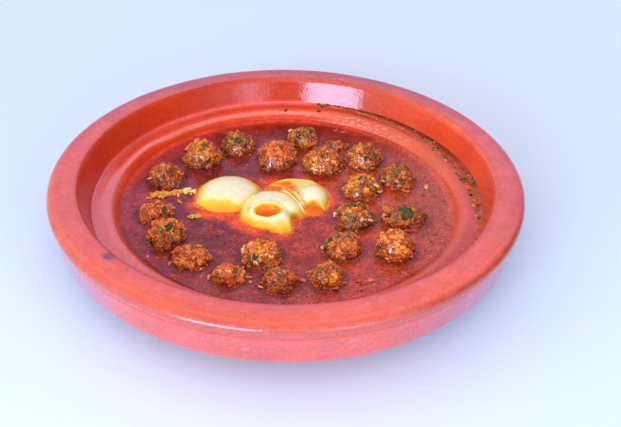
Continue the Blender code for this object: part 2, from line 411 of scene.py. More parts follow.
# -------------------------------------------------------------------- dish
DISH_LO, DISH_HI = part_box("dish")
SAUCE_LO, SAUCE_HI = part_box("sauce")
S = SAUCE_HI.z                                   # level of the sauce
CX, CY = (DISH_LO.x + DISH_HI.x) / 2, (DISH_LO.y + DISH_HI.y) / 2
R_OUT = (DISH_HI.x - DISH_LO.x) / 2              # 160 mm
TOP = DISH_HI.z                                  # 53.4 mm
K = R_OUT / (160 * MM)


def bowl_curve(a):
    """Inner bowl wall at turn a (0 to 60 degrees), radius and height in mm."""
    a = math.radians(a)
    return 84 + 35.3 * math.sin(a) / math.sin(math.radians(60)), 12 + 21.6 * (1 - math.cos(a)) / 0.5


def bezier(p0, p1, p2, p3, n):
    t = np.linspace(0, 1, n)[:, None]
    p0, p1, p2, p3 = (np.array(p, float) for p in (p0, p1, p2, p3))
    return (1 - t) ** 3 * p0 + 3 * t * (1 - t) ** 2 * p1 + 3 * t * t * (1 - t) * p2 + t ** 3 * p3


# the bowl wall turns over a soft shoulder into the lid seat
SHOULDER = bezier((113.1, 25.0), (115.9, 28.5), (117.4, 34.7), (124.6, 34.95), 22)


def bowl_radius_at(z):
    """Radius in mm of the bowl wall at height z in mm."""
    if z > 25.0:
        return float(np.interp(z, SHOULDER[:, 1], SHOULDER[:, 0]))
    c = 1 - (z - 12) / 21.6 * 0.5
    return 84 + 35.3 * math.sqrt(max(0, 1 - c * c)) / math.sin(math.radians(60))


def out_of_round(r, theta):
    """How far in mm the bowl's lip stands in at the front: the pot isn't quite round inside."""
    return -1.0 * np.clip(-np.sin(theta), 0, 1) ** 3 * sstep(60, 108, r) * (1 - sstep(119, 133.2, r))


def rounded(points, step):
    """Dense run of points through corners (r, z, fillet radius)."""
    out = [points[0][:2]]
    for k in range(1, len(points) - 1):
        p0, p1, p2 = (np.array(points[j][:2], float) for j in (k - 1, k, k + 1))
        rad = points[k][2]
        d0, d2 = p0 - p1, p2 - p1
        l0, l2 = np.linalg.norm(d0), np.linalg.norm(d2)
        d0 /= l0; d2 /= l2
        ang = math.acos(max(-1, min(1, float(d0 @ d2))))
        if rad <= 0 or ang > math.pi - 1e-3:
            out.append(tuple(p1)); continue
        cut = min(rad / math.tan(ang / 2), 0.49 * l0, 0.49 * l2)
        a, b = p1 + d0 * cut, p1 + d2 * cut
        n = max(3, int(cut * (math.pi - ang) / step) + 2)
        for i in range(n + 1):
            t = i / n
            out.append(tuple((1 - t) ** 2 * a + 2 * t * (1 - t) * p1 + t * t * b))
    out.append(points[-1][:2])
    dense = [out[0]]
    for p, q in zip(out, out[1:]):
        l = math.hypot(q[0] - p[0], q[1] - p[1])
        n = max(1, int(l / step))
        for i in range(1, n + 1):
            dense.append((p[0] + (q[0] - p[0]) * i / n, p[1] + (q[1] - p[1]) * i / n))
    keep = [dense[0]]
    for p in dense[1:]:
        if math.hypot(p[0] - keep[-1][0], p[1] - keep[-1][1]) > 0.12:
            keep.append(p)
    return keep


def dish_sections():
    inside_ = [(1.0, 12.0), (84, 12.0)]
    bowl = [bowl_curve(a) for a in np.linspace(0, 45.6, 26)][:-1] + [tuple(p) for p in SHOULDER]
    edge = [tuple(p) + (0,) for p in bezier((152.5, 53.15), (159.4, 52.5), (161.9, 49.4), (159.9, 44.9), 15)]
    seat = rounded([bowl[-1] + (0,), (133.5, 33.95, 1.6), (139.2, 50.3, 0),
                    (140.9, 53.05, 1.6), (147.0, 53.45, 3.0)] + edge + [(158.5, 42.6, 2.4), (157.9, 36.0, 2.5), (156.6, 25.0, 7.0),
                    (151.5, 18.2, 5.0), (143.0, 15.2, 3.0), (125.5, 10.4, 3.0), (105.2, 2.6, 1.2),
                    (104.0, 0.0, 0.8), (95.0, 0.0, 0.8), (93.4, 2.5, 0.8), (60.0, 2.5, 0)], 1.25)
    flat = [(r, 12.0) for r in np.linspace(2.0, 80, 9)]
    under = [(r, 2.5) for r in np.linspace(56, 2.0, 8)]
    return flat + bowl[:-1] + seat + under


SEC = dish_sections()
NT = 396
sec = np.array(SEC)
nr = len(sec)
th = np.arange(NT) / NT * 2 * math.pi
rr = np.repeat(sec[:, 0], NT); zz = np.repeat(sec[:, 1], NT); tt = np.tile(th, nr)
arclen = np.concatenate([[0], np.cumsum(np.hypot(*np.diff(sec, axis=0).T))])
ss = np.repeat(arclen, NT)
circle = np.stack([np.cos(tt), np.sin(tt)], 1)
slow = fbm(np.stack([circle[:, 0] * 1.3, circle[:, 1] * 1.3, zz * 0.015], 1), 5, 2)
slow2 = fbm(np.stack([circle[:, 0] * 2.1 + 9, circle[:, 1] * 2.1, rr * 0.01], 1), 6, 2)
hand = fbm(np.stack([circle[:, 0] * rr / 26, circle[:, 1] * rr / 26, zz / 26], 1), 8, 3)
# faint wheel marks: rings along the section, broken up round the dish
wheel = vnoise(np.stack([ss / 2.6, circle[:, 0] * 2.2, circle[:, 1] * 2.2], 1), 9)
high = sstep(10, 40, zz)
free = sstep(0.5, 6.0, zz)
dr = 0.55 * slow * high + 0.18 * hand * free + 0.05 * wheel * free
dz = 0.35 * slow2 * high + 0.14 * hand * high + 0.04 * wheel * free
dr = np.where(rr > 158.5, np.minimum(dr, 0.9), dr)
dr *= sstep(4, 30, rr)
dr += out_of_round(rr, tt) * (zz > 11.0)
# chip on the inner edge of the rim and small knocks
ang = np.degrees(np.arctan2(circle[:, 1], circle[:, 0]))


def near(az, r, z):
    a = math.radians(az)
    return np.sqrt((rr * circle[:, 0] - r * math.cos(a)) ** 2 + (rr * circle[:, 1] - r * math.sin(a)) ** 2 + (zz - z) ** 2)


pn = fbm(np.stack([rr * circle[:, 0], rr * circle[:, 1], zz], 1) / 3.0, 12, 2)
chip = sstep(0.0, 0.5, 1 - near(-137.2, 143.6, 53.0) / 5.2 + 0.35 * pn)
dz -= 0.55 * chip
for az, r, z, size in ((-72, 147.5, 53.3, 1.3), (-90.7, 144.4, 53.3, 1.2), (-76, 158, 38, 1.5), (-98, 158, 33, 1.4), (-36, 152, 52, 1.0), (128, 148, 53.2, 1.1)):
    dz -= 0.18 * gauss(near(az, r, z), size)
R_ = (rr + dr) * MM * K; Z_ = (zz + dz) * MM
verts = np.stack([CX + R_ * circle[:, 0], CY + R_ * circle[:, 1], Z_], 1)
verts = np.concatenate([verts, [[CX, CY, 12 * MM]], [[CX, CY, 2.5 * MM]]])
quads = grid_faces(nr, NT)
k0, k1 = len(verts) - 2, len(verts) - 1
idx = np.arange(NT)
cap0 = np.stack([np.full(NT, k0), idx, (idx + 1) % NT], 1)
cap1 = np.stack([np.full(NT, k1), (nr - 1) * NT + (idx + 1) % NT, (nr - 1) * NT + idx], 1)
# outward winding: the section runs from the inside floor over the rim to the foot
faces = [tuple(q[::-1]) for q in quads.tolist()] + [tuple(c[::-1]) for c in cap0.tolist()] + [tuple(c[::-1]) for c in cap1.tolist()]


def dish_colours():
    x, y = rr * circle[:, 0], rr * circle[:, 1]
    red = np.array([0.60, 0.040, 0.014])
    orange = np.array([0.66, 0.066, 0.010])
    pink = np.array([0.66, 0.115, 0.105])
    c = np.tile(red, (len(rr), 1))
    n1 = fbm(np.stack([x, y, zz], 1) / 22, 21, 3)
    n2 = fbm(np.stack([x, y, zz * 2], 1) / 6, 22, 3)
    c = mixc(c, orange, 0.35 + 0.5 * n1)
    outer = sstep(0.2, 1.0, (rr - 156.2) / 1.0) * (1 - sstep(43.0, 45.5, zz))
    outer = np.maximum(outer, ((ss > arclen[np.argmax(sec[:, 0])]) & (zz < 43.4)) * 1.0)
    c = mixc(c, pink, outer * (0.82 + 0.2 * n2))
    # painted shade: darker and browner in the crease of the seat and, faintly, in the notch below the rim
    painted_crease_shade = gauss(np.hypot(rr - 133.4, zz - 34.1), 1.3) + 0.08 * gauss(np.hypot(rr - 158.4, zz - 42.8), 0.9)
    c = mixc(c, [0.33, 0.028, 0.016], 0.55 * painted_crease_shade)
    # painted highlight: paler along the rim's inner edge and, more faintly, along the lip
    painted_edge_highlight = gauss(np.hypot(rr - 141.2, zz - 52.8), 1.1) + 0.3 * gauss(np.hypot(rr - 121.0, zz - 34.2), 2.0)
    c = mixc(c, [0.72, 0.14, 0.075], painted_edge_highlight * np.clip(0.35 + 0.5 * n2, 0, 1))
    # the lip glows orange where sauce and oil wet it
    lip = sstep(110.0, 115.0, rr) * (1 - sstep(122.0, 127.0, rr + 2.0 * n1)) * (zz > 20)
    c = mixc(c, [0.80, 0.098, 0.026], 0.75 * lip)
    top_ = sstep(141.0, 144.0, rr) * (zz > 44.5)
    c = mixc(c, [0.82, 0.135, 0.098], top_ * np.clip(0.62 + 0.35 * n2, 0, 1))
    # wheel lines near the outer edge, and the pinker turned-down edge
    for r0, w0, k0_ in ((151.2, 0.6, 0.45), (153.9, 0.95, 0.85), (157.2, 0.9, 0.90)):
        c = mixc(c, [0.72, 0.060, 0.014], k0_ * gauss(rr + 0.5 * slow - r0, w0) * top_ * (zz > 49.0) * np.clip(0.55 + 0.9 * n1 + 0.3 * n2, 0, 1))
    c = mixc(c, pink, sstep(50.6, 48.8, zz) * sstep(157.6, 158.6, rr) * (0.85 + 0.2 * n2))
    # painted shade: the far side of the rim is darker and bluer; painted light: the near side is lighter towards its
    # outer edge
    far_rim_painted_shade = top_ * sstep(0.25, 0.9, circle[:, 1]); near_rim_painted_light = top_ * sstep(0.3, 0.9, -circle[:, 1])
    c = c * (1 - 0.24 * far_rim_painted_shade)[:, None] * (1 + far_rim_painted_shade[:, None] * np.array([0.0, 0.06, 0.25])) * (1 + 0.15 * near_rim_painted_light * sstep(51.6, 52.4, zz))[:, None]
    # the turned-down edge is a deeper pink, and painted shade makes it darker towards the right; the outside wall is
    # painted violet at the sides, a painted reflection
    turned_edge_tint_and_shade = sstep(52.2, 50.8, zz) * sstep(155.4, 157.0, rr) * (zz > 43.8)
    c = c * (1 - (0.17 + 0.20 * sstep(0.2, 0.9, circle[:, 0])) * turned_edge_tint_and_shade)[:, None] * (1 - turned_edge_tint_and_shade[:, None] * np.array([0.0, 0.10, 0.22]))
    painted_side_reflection = np.maximum(sstep(0.30, 0.95, circle[:, 0]), sstep(0.52, 0.88, -circle[:, 0])) * outer * (zz < 44.0)
    c = mixc(c, [0.42, 0.19, 0.30], 0.88 * painted_side_reflection)
    # painted highlight: pale glint flecks painted on the oily shoulder at the back
    painted_shoulder_glints = sstep(113.6, 115.4, rr) * sstep(123.5, 120.5, rr) * (zz > 27.0) * (zz < 36.0) * (ss < arclen[np.argmax(sec[:, 0])])
    glint_fleck_noise = vnoise(np.stack([x / 2.4, y / 1.1, zz / 0.8], 1), 37) + 0.5 * fbm(np.stack([x / 6.0, y / 4.0, zz / 3.0], 1), 38, 2)
    c = mixc(c, [0.97, 0.46, 0.42], 0.42 * painted_shoulder_glints * sstep(0.15, 0.60, glint_fleck_noise) * sstep(0.72, 0.97, circle[:, 1] + 0.22 * circle[:, 0]))
    # bare clay under the dish
    bare = sstep(14.0, 9.0, zz) * (ss > arclen[np.argmax(sec[:, 0])])
    c = mixc(c, [0.45, 0.17, 0.09], bare * (0.8 + 0.2 * n1))
    c = mixc(c, [0.30, 0.045, 0.075], chip)
    for az, r, z, size in ((-72, 147.5, 53.3, 1.4), (-90.7, 144.4, 53.3, 1.2), (-76, 158, 38, 1.7), (-98, 158, 33, 1.5), (128, 148, 53.2, 1.1)):
        c = mixc(c, [0.85, 0.40, 0.34], 0.42 * gauss(near(az, r, z), 0.75 * size))
    # a darker speckle in the glaze
    f1, f2, cid = worley(np.stack([x, y, zz], 1) / 5.5, 33)
    dot = (cell_rand(cid, 1) > 0.90) * sstep(0.16, 0.08, f1)
    c = mixc(c, [0.26, 0.02, 0.012], 0.45 * dot)
    rough = 0.24 + 0.05 * n1 + 0.14 * outer + 0.3 * bare + 0.2 * chip
    # the bowl's wall is dulled by sauce round the left and the back left, and its colour there is painted a deeper,
    # darker red: painted shade
    left_side = sstep(0.05, 0.75, -circle[:, 0] + 0.25 * circle[:, 1])
    wall_in = (rr < 119.0) * (zz > 12.2) * (ss < arclen[np.argmax(sec[:, 0])])
    inner = (ss < arclen[np.argmax(sec[:, 0])])
    upper_in = (rr > 133.0) * (rr < 141.5) * (zz > 35.0) * inner
    groove = gauss(np.hypot(rr - 158.6, zz - 42.9), 1.5) * (zz < 46.0)
    gloss = np.clip(1.0 - 0.78 * left_side * wall_in - 0.72 * left_side * upper_in - 0.9 * groove, 0.05, 1)
    c = mixc(c, [0.80, 0.066, 0.028], 0.6 * groove)
    c = mixc(c, red * [1.0, 0.85, 0.4], 0.7 * left_side * wall_in * sstep(118.0, 113.0, rr))
    c = mixc(c, red * [0.9, 0.80, 0.5], 0.5 * left_side * upper_in)
    # painted light: the upper inner wall on the right is painted lighter
    right_wall_painted_light = sstep(0.35, 0.9, circle[:, 0])
    c = c * (1 + 0.22 * right_wall_painted_light * upper_in)[:, None]
    back_side = sstep(0.35, 0.85, circle[:, 1]) * upper_in * sstep(-0.75, -0.35, circle[:, 0])
    c = c * (1 - back_side[:, None] * np.array([0.09, 0.26, 0.48]))
    # painted reflection: the lid seat on the left is painted pink
    seat_ = (rr > 120.0) * (rr < 133.0) * (zz < 36.0) * (zz > 33.0) * (ss < arclen[np.argmax(sec[:, 0])])
    c = mixc(c, [0.95, 0.20, 0.20], 0.72 * left_side * seat_)
    azd = np.degrees(np.arctan2(y, x)) % 360
    win = sstep(66, 86, azd) * sstep(174, 162, azd) * inner
    shift = 2.0 * sstep(138, 152, azd)
    low_ = (zz > 24.0) * (zz < 37.0)
    flat_ = win * low_ * sstep(120.2 + shift, 121.6 + shift, rr) * sstep(134.6, 133.2, rr)
    # the seat at the back is a saturated red, and towards the crease it is painted a paler pink, a painted highlight
    crease_painted_highlight = sstep(126.5, 131.5, rr)
    ledge_c = mixc(np.array([0.76, 0.052, 0.013]), mixc(np.array([0.80, 0.088, 0.050]), [0.95, 0.135, 0.095], sstep(150, 118, azd)), crease_painted_highlight)
    c = mixc(c, ledge_c * (1 + 0.10 * n2)[:, None], 0.9 * flat_)
    gloss = gloss * (1 - flat_ * (0.80 - 0.45 * crease_painted_highlight))
    azs = (azd + 180) % 360 - 180
    stain_ = sstep(-12, 8, azs) * sstep(76, 58, azs) * low_ * (rr < 134.0) * inner * sstep(117.4, 123.6, rr + 0.6 * n2)
    c = c * (1 - stain_[:, None] * np.array([0.24, 0.28, 0.33]))
    # painted highlight: a pale line along the lip at the back and left
    lip_painted_highlight = win * low_ * gauss(rr - (118.9 + shift), 1.0)
    wall_b = win * (zz > 14.0) * sstep(119.0 + shift, 117.6 + shift, rr)
    c = mixc(c, [0.74, 0.042, 0.006], 0.8 * wall_b * (1 - lip_painted_highlight))
    gloss = gloss * (1 - 0.7 * wall_b)
    c = mixc(c, [0.98, 0.20, 0.12], 0.8 * lip_painted_highlight)
    return c, rough, gloss


dc, drough, dgloss = dish_colours()
dc = np.concatenate([dc, dc[:1], [[0.45, 0.17, 0.09]]]); drough = np.concatenate([drough, [0.3, 0.6]]); dgloss = np.concatenate([dgloss, [1.0, 0.2]])
dish = make("dish_glazed", verts, faces, GLAZE, {"Col": dc, "Rough": drough, "Gloss": dgloss}, "dish")

# --------------------------------------------------------------- meatballs
BALLS = ["meatball_%02d" % i for i in range(1, 22)]
ICO_V, ICO_F = ico(6)
ball_meshes = {}
ball_info = {}

# how each ball differs: brown, orange-red stain, green herb share, darkness
STYLE = {
    1: (0.50, 0.10, 0.10, 0.75), 2: (0.35, 0.05, 0.30, 0.81), 3: (0.10, 0.75, 0.10, 0.84), 4: (0.60, 0.20, 0.25, 1.02),
    5: (0.75, 0.05, 0.05, 0.86), 6: (0.20, 0.55, 0.05, 0.80), 7: (0.55, 0.15, 0.05, 0.77), 8: (0.45, 0.25, 0.15, 0.77),
    9: (0.60, 0.10, 0.20, 1.06), 10: (0.55, 0.10, 0.22, 0.76), 11: (0.35, 0.35, 0.20, 0.59), 12: (0.70, 0.20, 0.02, 1.07),
    13: (0.45, 0.30, 0.12, 0.78), 14: (0.50, 0.30, 0.15, 1.18), 15: (0.45, 0.30, 0.12, 0.88), 16: (0.80, 0.05, 0.06, 1.22),
    17: (0.35, 0.50, 0.08, 1.23), 18: (0.40, 0.30, 0.10, 1.03), 19: (0.45, 0.30, 0.18, 1.07), 20: (0.35, 0.45, 0.05, 0.86),
    21: (0.35, 0.40, 0.10, 0.71),
}


# beads of juice that smooth over the mince on some balls: size in radians, and
# where on the ball each sits
JUICE = {
    1: [(0.15, -0.10, 0.10)], 2: [(0.14, 0.12, 0.06)], 3: [(0.32, -0.02, -0.04)], 4: [(0.30, 0.02, 0.02), (0.16, 0.3, 0.3)],
    5: [(0.15, 0.10, 0.10)], 6: [(0.15, 0.0, 0.0)], 7: [(0.24, 0.06, 0.06), (0.14, 0.22, -0.05)], 8: [(0.12, 0.1, 0.0)],
    9: [(0.30, -0.06, -0.10), (0.16, 0.20, -0.06)], 10: [(0.20, -0.12, 0.08), (0.12, 0.1, 0.0)], 12: [(0.30, 0.0, -0.08), (0.18, -0.26, 0.06)],
    13: [(0.17, 0.05, 0.04)], 14: [(0.14, 0.0, 0.05)], 15: [(0.16, 0.0, -0.05)], 16: [(0.17, -0.1, 0.0), (0.12, 0.15, 0.1)],
    18: [(0.15, 0.0, 0.0)], 19: [(0.14, 0.05, 0.0)], 20: [(0.20, 0.0, 0.0)], 21: [(0.16, 0.05, 0.1)],
}
JUICE_AT = np.array([-0.23, -0.87, 0.43])


def build_ball(num):
    name = BALLS[num - 1]
    lo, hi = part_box(name)
    c = np.array((lo + hi) / 2); half = np.array((hi - lo) / 2)
    seed = 100 + num * 7
    u = ICO_V
    size = half.mean()
    # broad lumps, then torn grains of mince, then crumbs
    big = fbm(u * 1.2 + num * 3.1, seed, 2)
    mid = fbm(u * 2.6 + num * 1.7, seed + 1, 2)
    p = u * half / MM
    warp = np.stack([vnoise(p / 2.3, seed + 11), vnoise(p / 2.3 + 40, seed + 12), vnoise(p / 2.3 + 80, seed + 13)], 1)
    warp2 = np.stack([vnoise(p / 0.9, seed + 14), vnoise(p / 0.9 + 40, seed + 15), vnoise(p / 0.9 + 80, seed + 16)], 1)
    q = p + 1.25 * warp + 0.28 * warp2
    f1, f2, cid = worley(q / 5.0, seed + 2, 1.0)
    g1, g2, gid = worley((q + 0.6 * warp2) / 1.75, seed + 3, 1.0)
    tall = cell_rand(cid, 3)
    tilt = (cell_rand(cid, 4) - 0.5) * u[:, 0] + (cell_rand(cid, 8) - 0.5) * u[:, 1] + (cell_rand(cid, 10) - 0.5) * u[:, 2]
    cut = sstep(0.0, 0.26, f2 - f1)
    cut2 = sstep(0.0, 0.30, g2 - g1)
    small = cell_rand(gid, 3)
    ridge = 1 - np.abs(fbm(q / 1.9 + 5, seed + 21, 2)) * 2
    h = (1.25 * big + 1.25 * mid) * size * 0.10 / MM
    h = h + 0.75 * (tall - 0.5) + 1.0 * tilt - 0.80 * (1 - cut) + 0.30 * (small - 0.5) - 0.26 * (1 - cut2) + 0.30 * ridge
    h = h + 0.34 * fbm(p / 1.0, seed + 5, 3)
    pit = sstep(0.35, 0.8, fbm(p / 3.6 + 7, seed + 6, 2) * 1.4)
    h = h - 1.1 * pit
    juice = np.zeros(len(u))
    for wide_, du, dv in JUICE.get(num, []):
        at = JUICE_AT + np.array([du, 0.0, dv]); at = at / np.linalg.norm(at)
        ang = np.arccos(np.clip(u @ at, -1, 1)) + 0.05 * vnoise(p / 1.6, seed + 31)
        juice = np.maximum(juice, sstep(wide_ * 1.3, wide_ * 0.75, ang))
    calm = (1.25 * big + 1.25 * mid) * size * 0.06 / MM + 0.10 * fbm(p / 1.3, seed + 32, 2)
    h = h * (1 - juice) + calm * juice
    v = u * half + u * (h * MM)[:, None]
    v = v + c
    up = v[:, 2] - S
    brown, stain, herb, lum = STYLE[num]
    r1, r2, r3 = cell_rand(cid, 5), cell_rand(gid, 6), cell_rand(gid, 9)
    fleck = 0.5 + 0.85 * fbm(q / 1.2 + 60, seed + 22, 3)
    tone = np.clip(0.42 + 0.32 * (r1 - 0.5) * (0.6 + 0.5 * brown) + 1.15 * (fleck - 0.5) + 0.25 * (r2 - 0.5), 0, 1)
    col = mixc([0.20, 0.031, 0.008], [0.50, 0.190, 0.030], sstep(0.0, 0.5, tone))
    col = mixc(col, [0.74, 0.44, 0.130], sstep(0.45, 0.95, tone))
    col = mixc(col, [0.84, 0.64, 0.30], 0.75 * (r2 > 0.84) * sstep(0.05, 0.4, g2 - g1) * sstep(0.35, 0.6, fleck))
    patch = fbm(p / 7.0 + 31, seed + 23, 2)
    col = mixc(col, [0.56, 0.33, 0.026], 0.66 * sstep(0.0, 0.42, patch))
    col = mixc(col, [0.20, 0.045, 0.010], 0.60 * (r2 < 0.14))
    n1 = fbm(p / 5.0 + 3, seed + 8, 2)
    col = mixc(col, mixc([0.74, 0.095, 0.012], [0.84, 0.22, 0.03], r3), np.clip(stain * 0.76 + 0.9 * n1 * (0.25 + stain) + 0.25 * (r1 - .5), 0, 0.60))
    n2 = fbm(p / 3.4 + 19, seed + 9, 2)
    green = sstep(0.62 - herb, 0.82 - herb, n2 * 0.5 + 0.5) * (0.35 + 0.5 * (r3 > 0.5))
    col = mixc(col, mixc([0.20, 0.15, 0.020], [0.055, 0.070, 0.015], r1), green * 0.85)
    # painted shade: crevices and pits painted dark
    crevice_painted_shade = ((1 - cut) * 0.70 + (1 - cut2) * 0.25 + 0.85 * pit) * (1 - 0.6 * juice)
    col = mixc(col, [0.13, 0.014, 0.006], np.clip(crevice_painted_shade * 0.95, 0, 0.85))
    # sauce stain and wetness at the foot
    wet = sstep(4.3, 0.2, up / MM + 1.3 * n1)
    col = mixc(col, [0.235, 0.024, 0.010], wet * 0.74)
    # broad tone at random, and painted light: tops and the left side lighter, the right side darker
    shade = 1.05 + 1.15 * fbm(p / 5.2 + 51, seed + 24, 3) + 0.10 * (r1 - 0.5) + 0.16 * u[:, 2] - 0.14 * u[:, 0]
    col = np.clip(col * (lum * np.clip(shade, 0.36, 1.55))[:, None] * np.array([1.62, 0.91, 0.42]), 0, 0.98)
    rough = 0.40 - 0.18 * wet + 0.16 * (r2 - 0.5)
    col = col * (1 - 0.25 * juice)[:, None]
    ball_meshes[num] = (v, ICO_F)
    ball_info[num] = (c, half)
    make("ball_%02d" % num, v, ICO_F, MEAT, {"Col": col, "Rough": rough, "Wet": juice}, name)


for i in range(1, 22):
    build_ball(i)

# -------------------------------------------------------------------- eggs


def radial(table, theta):
    """Smooth closed curve through (degrees, radius) pairs."""
    a = np.array([t[0] for t in table], float); r = np.array([t[1] for t in table], float)
    order = np.argsort(a); a, r = a[order], r[order]
    a = np.concatenate([a - 360, a, a + 360]); r = np.tile(r, 3)
    x = np.degrees(theta) % 360
    k = np.clip(np.searchsorted(a, x) - 1, 1, len(a) - 3)
    a0, a1 = a[k], a[k + 1]; t = (x - a0) / (a1 - a0)
    m0 = (r[k + 1] - r[k - 1]) / (a[k + 1] - a[k - 1]) * (a1 - a0)
    m1 = (r[k + 2] - r[k]) / (a[k + 2] - a[k]) * (a1 - a0)
    t2, t3 = t * t, t * t * t
    return (2 * t3 - 3 * t2 + 1) * r[k] + (t3 - 2 * t2 + t) * m0 + (-2 * t3 + 3 * t2) * r[k + 1] + (t3 - t2) * m1


EGG_OUT = {
    "egg_left": [(0, 22.0), (30, 21.5), (60, 20.5), (90, 19.8), (120, 20.6), (150, 22.0), (180, 22.9), (196, 24.2), (208, 26.6), (216, 26.8), (226, 25.6), (240, 24.6), (255, 23.4), (272, 22.8), (290, 22.2), (320, 22.0), (340, 22.0)],
    "egg_front": [(0, 23.2), (20, 22.6), (45, 22.2), (70, 21.0), (90, 20.6), (115, 20.6), (140, 21.4), (160, 21.0), (180, 20.6), (200, 21.6), (213, 22.2), (226, 21.2), (240, 21.6), (255, 21.0), (266, 21.4), (277, 24.6), (287, 29.2), (295, 30.0), (303, 28.0), (311, 23.6), (322, 19.2), (332, 18.8), (341, 22.4), (350, 23.4)],
    "egg_right": [(0, 22.6), (30, 21.6), (60, 20.6), (90, 19.8), (120, 21.8), (148, 24.4), (165, 23.6), (180, 21.8), (210, 20.0), (240, 19.4), (262, 20.0), (280, 22.6), (290, 25.0), (303, 26.6), (318, 25.6), (330, 24.6), (345, 23.2)],
}


def egg_left_top(x, y, rho):
    """Height above the sauce in mm at plan offset x, y from the egg's centre."""
    h = 9.6 - 0.010 * ((x - 1) ** 2 + (y + 1) ** 2) * 0.4
    h = h * np.sqrt(np.clip(1 - rho ** 2.5, 0, 1))
    # the pointed tail at the near left lies low
    h = h - 1.9 * gauss(np.hypot(x + 19, y + 15), 7.5)
    return h


def egg_front_top(x, y, rho):
    h = 9.4 * np.sqrt(np.clip(1 - rho ** 2.8, 0, 1))
    # slopes towards the diner, with the tail lower still
    h = h - 0.10 * np.clip(-y, 0, 40) * (1 - rho ** 4)
    h = h - 2.4 * gauss(np.hypot(x - 10, y + 25), 6.5)
    # sunken middle
    d = np.hypot((x + 1.2) / 9.0, (y + 9.2) / 5.7)
    h = h - 3.8 * (1 - sstep(0.55, 1.12, d)) + 0.75 * gauss(d - 1.22, 0.26)
    # fold along the left edge and a small hole in it
    f = seg_dist(x, y, [(-18.5, -11.0), (-18.6, -4.0), (-16.8, 1.6), (-12.2, 7.6)])
    h = h + 1.0 * gauss(f, 1.5) - 0.7 * gauss(seg_dist(x, y, [(-15.0, -9.5), (-15.2, -3.0), (-12.0, 3.0)]), 1.3)
    h = h - 0.9 * gauss(np.hypot(x + 13.8, y + 5.4), 1.3)
    # crest at the back, a faint fold running across it
    h = h + 0.5 * gauss(seg_dist(x, y, [(-6.0, 12.5), (3.0, 13.0), (11.0, 10.0)]), 2.2)
    return h


def egg_right_top(x, y, rho):
    shelf = 5.2 * np.sqrt(np.clip(1 - rho ** 3.0, 0, 1))
    d = np.hypot((x - 11.0) / 12.6, (y + 4.8) / 11.6)
    dome = 9.6 * np.sqrt(np.clip(1 - np.clip(d, 0, 1) ** 2.4, 0, 1))
    h = np.maximum(shelf, dome * np.sqrt(np.clip(1 - rho ** 5, 0, 1)))
    # pool at the near right, held by a thin rim
    pool = np.hypot((x - 10.8) / 7.4, (y + 19.0) / 4.9)
    h = h - (h - 2.1) * (1 - sstep(0.7, 1.05, pool)) + 1.3 * gauss(pool - 1.22, 0.2) * sstep(0.2, 1.0, (-y - 10) / 6)
    # two thin folds between the dome and the front egg, and the rolled back edge
    h = h + 2.3 * gauss(seg_dist(x, y, [(-10.5, -1.0), (-5.6, -7.2), (-0.6, -14.4), (3.2, -21.4)]), 1.15)
    h = h + 1.5 * gauss(seg_dist(x, y, [(-2.2, -3.4), (0.9, -10.0), (3.6, -17.2)]), 0.9)
    h = h + 1.6 * gauss(seg_dist(x, y, [(-20, 9.5), (-12.4, 14.8), (-5.4, 17.0), (4.0, 16.8), (12, 13.6)]), 2.3) * np.sqrt(np.clip(1 - rho ** 4, 0, 1))
    return h


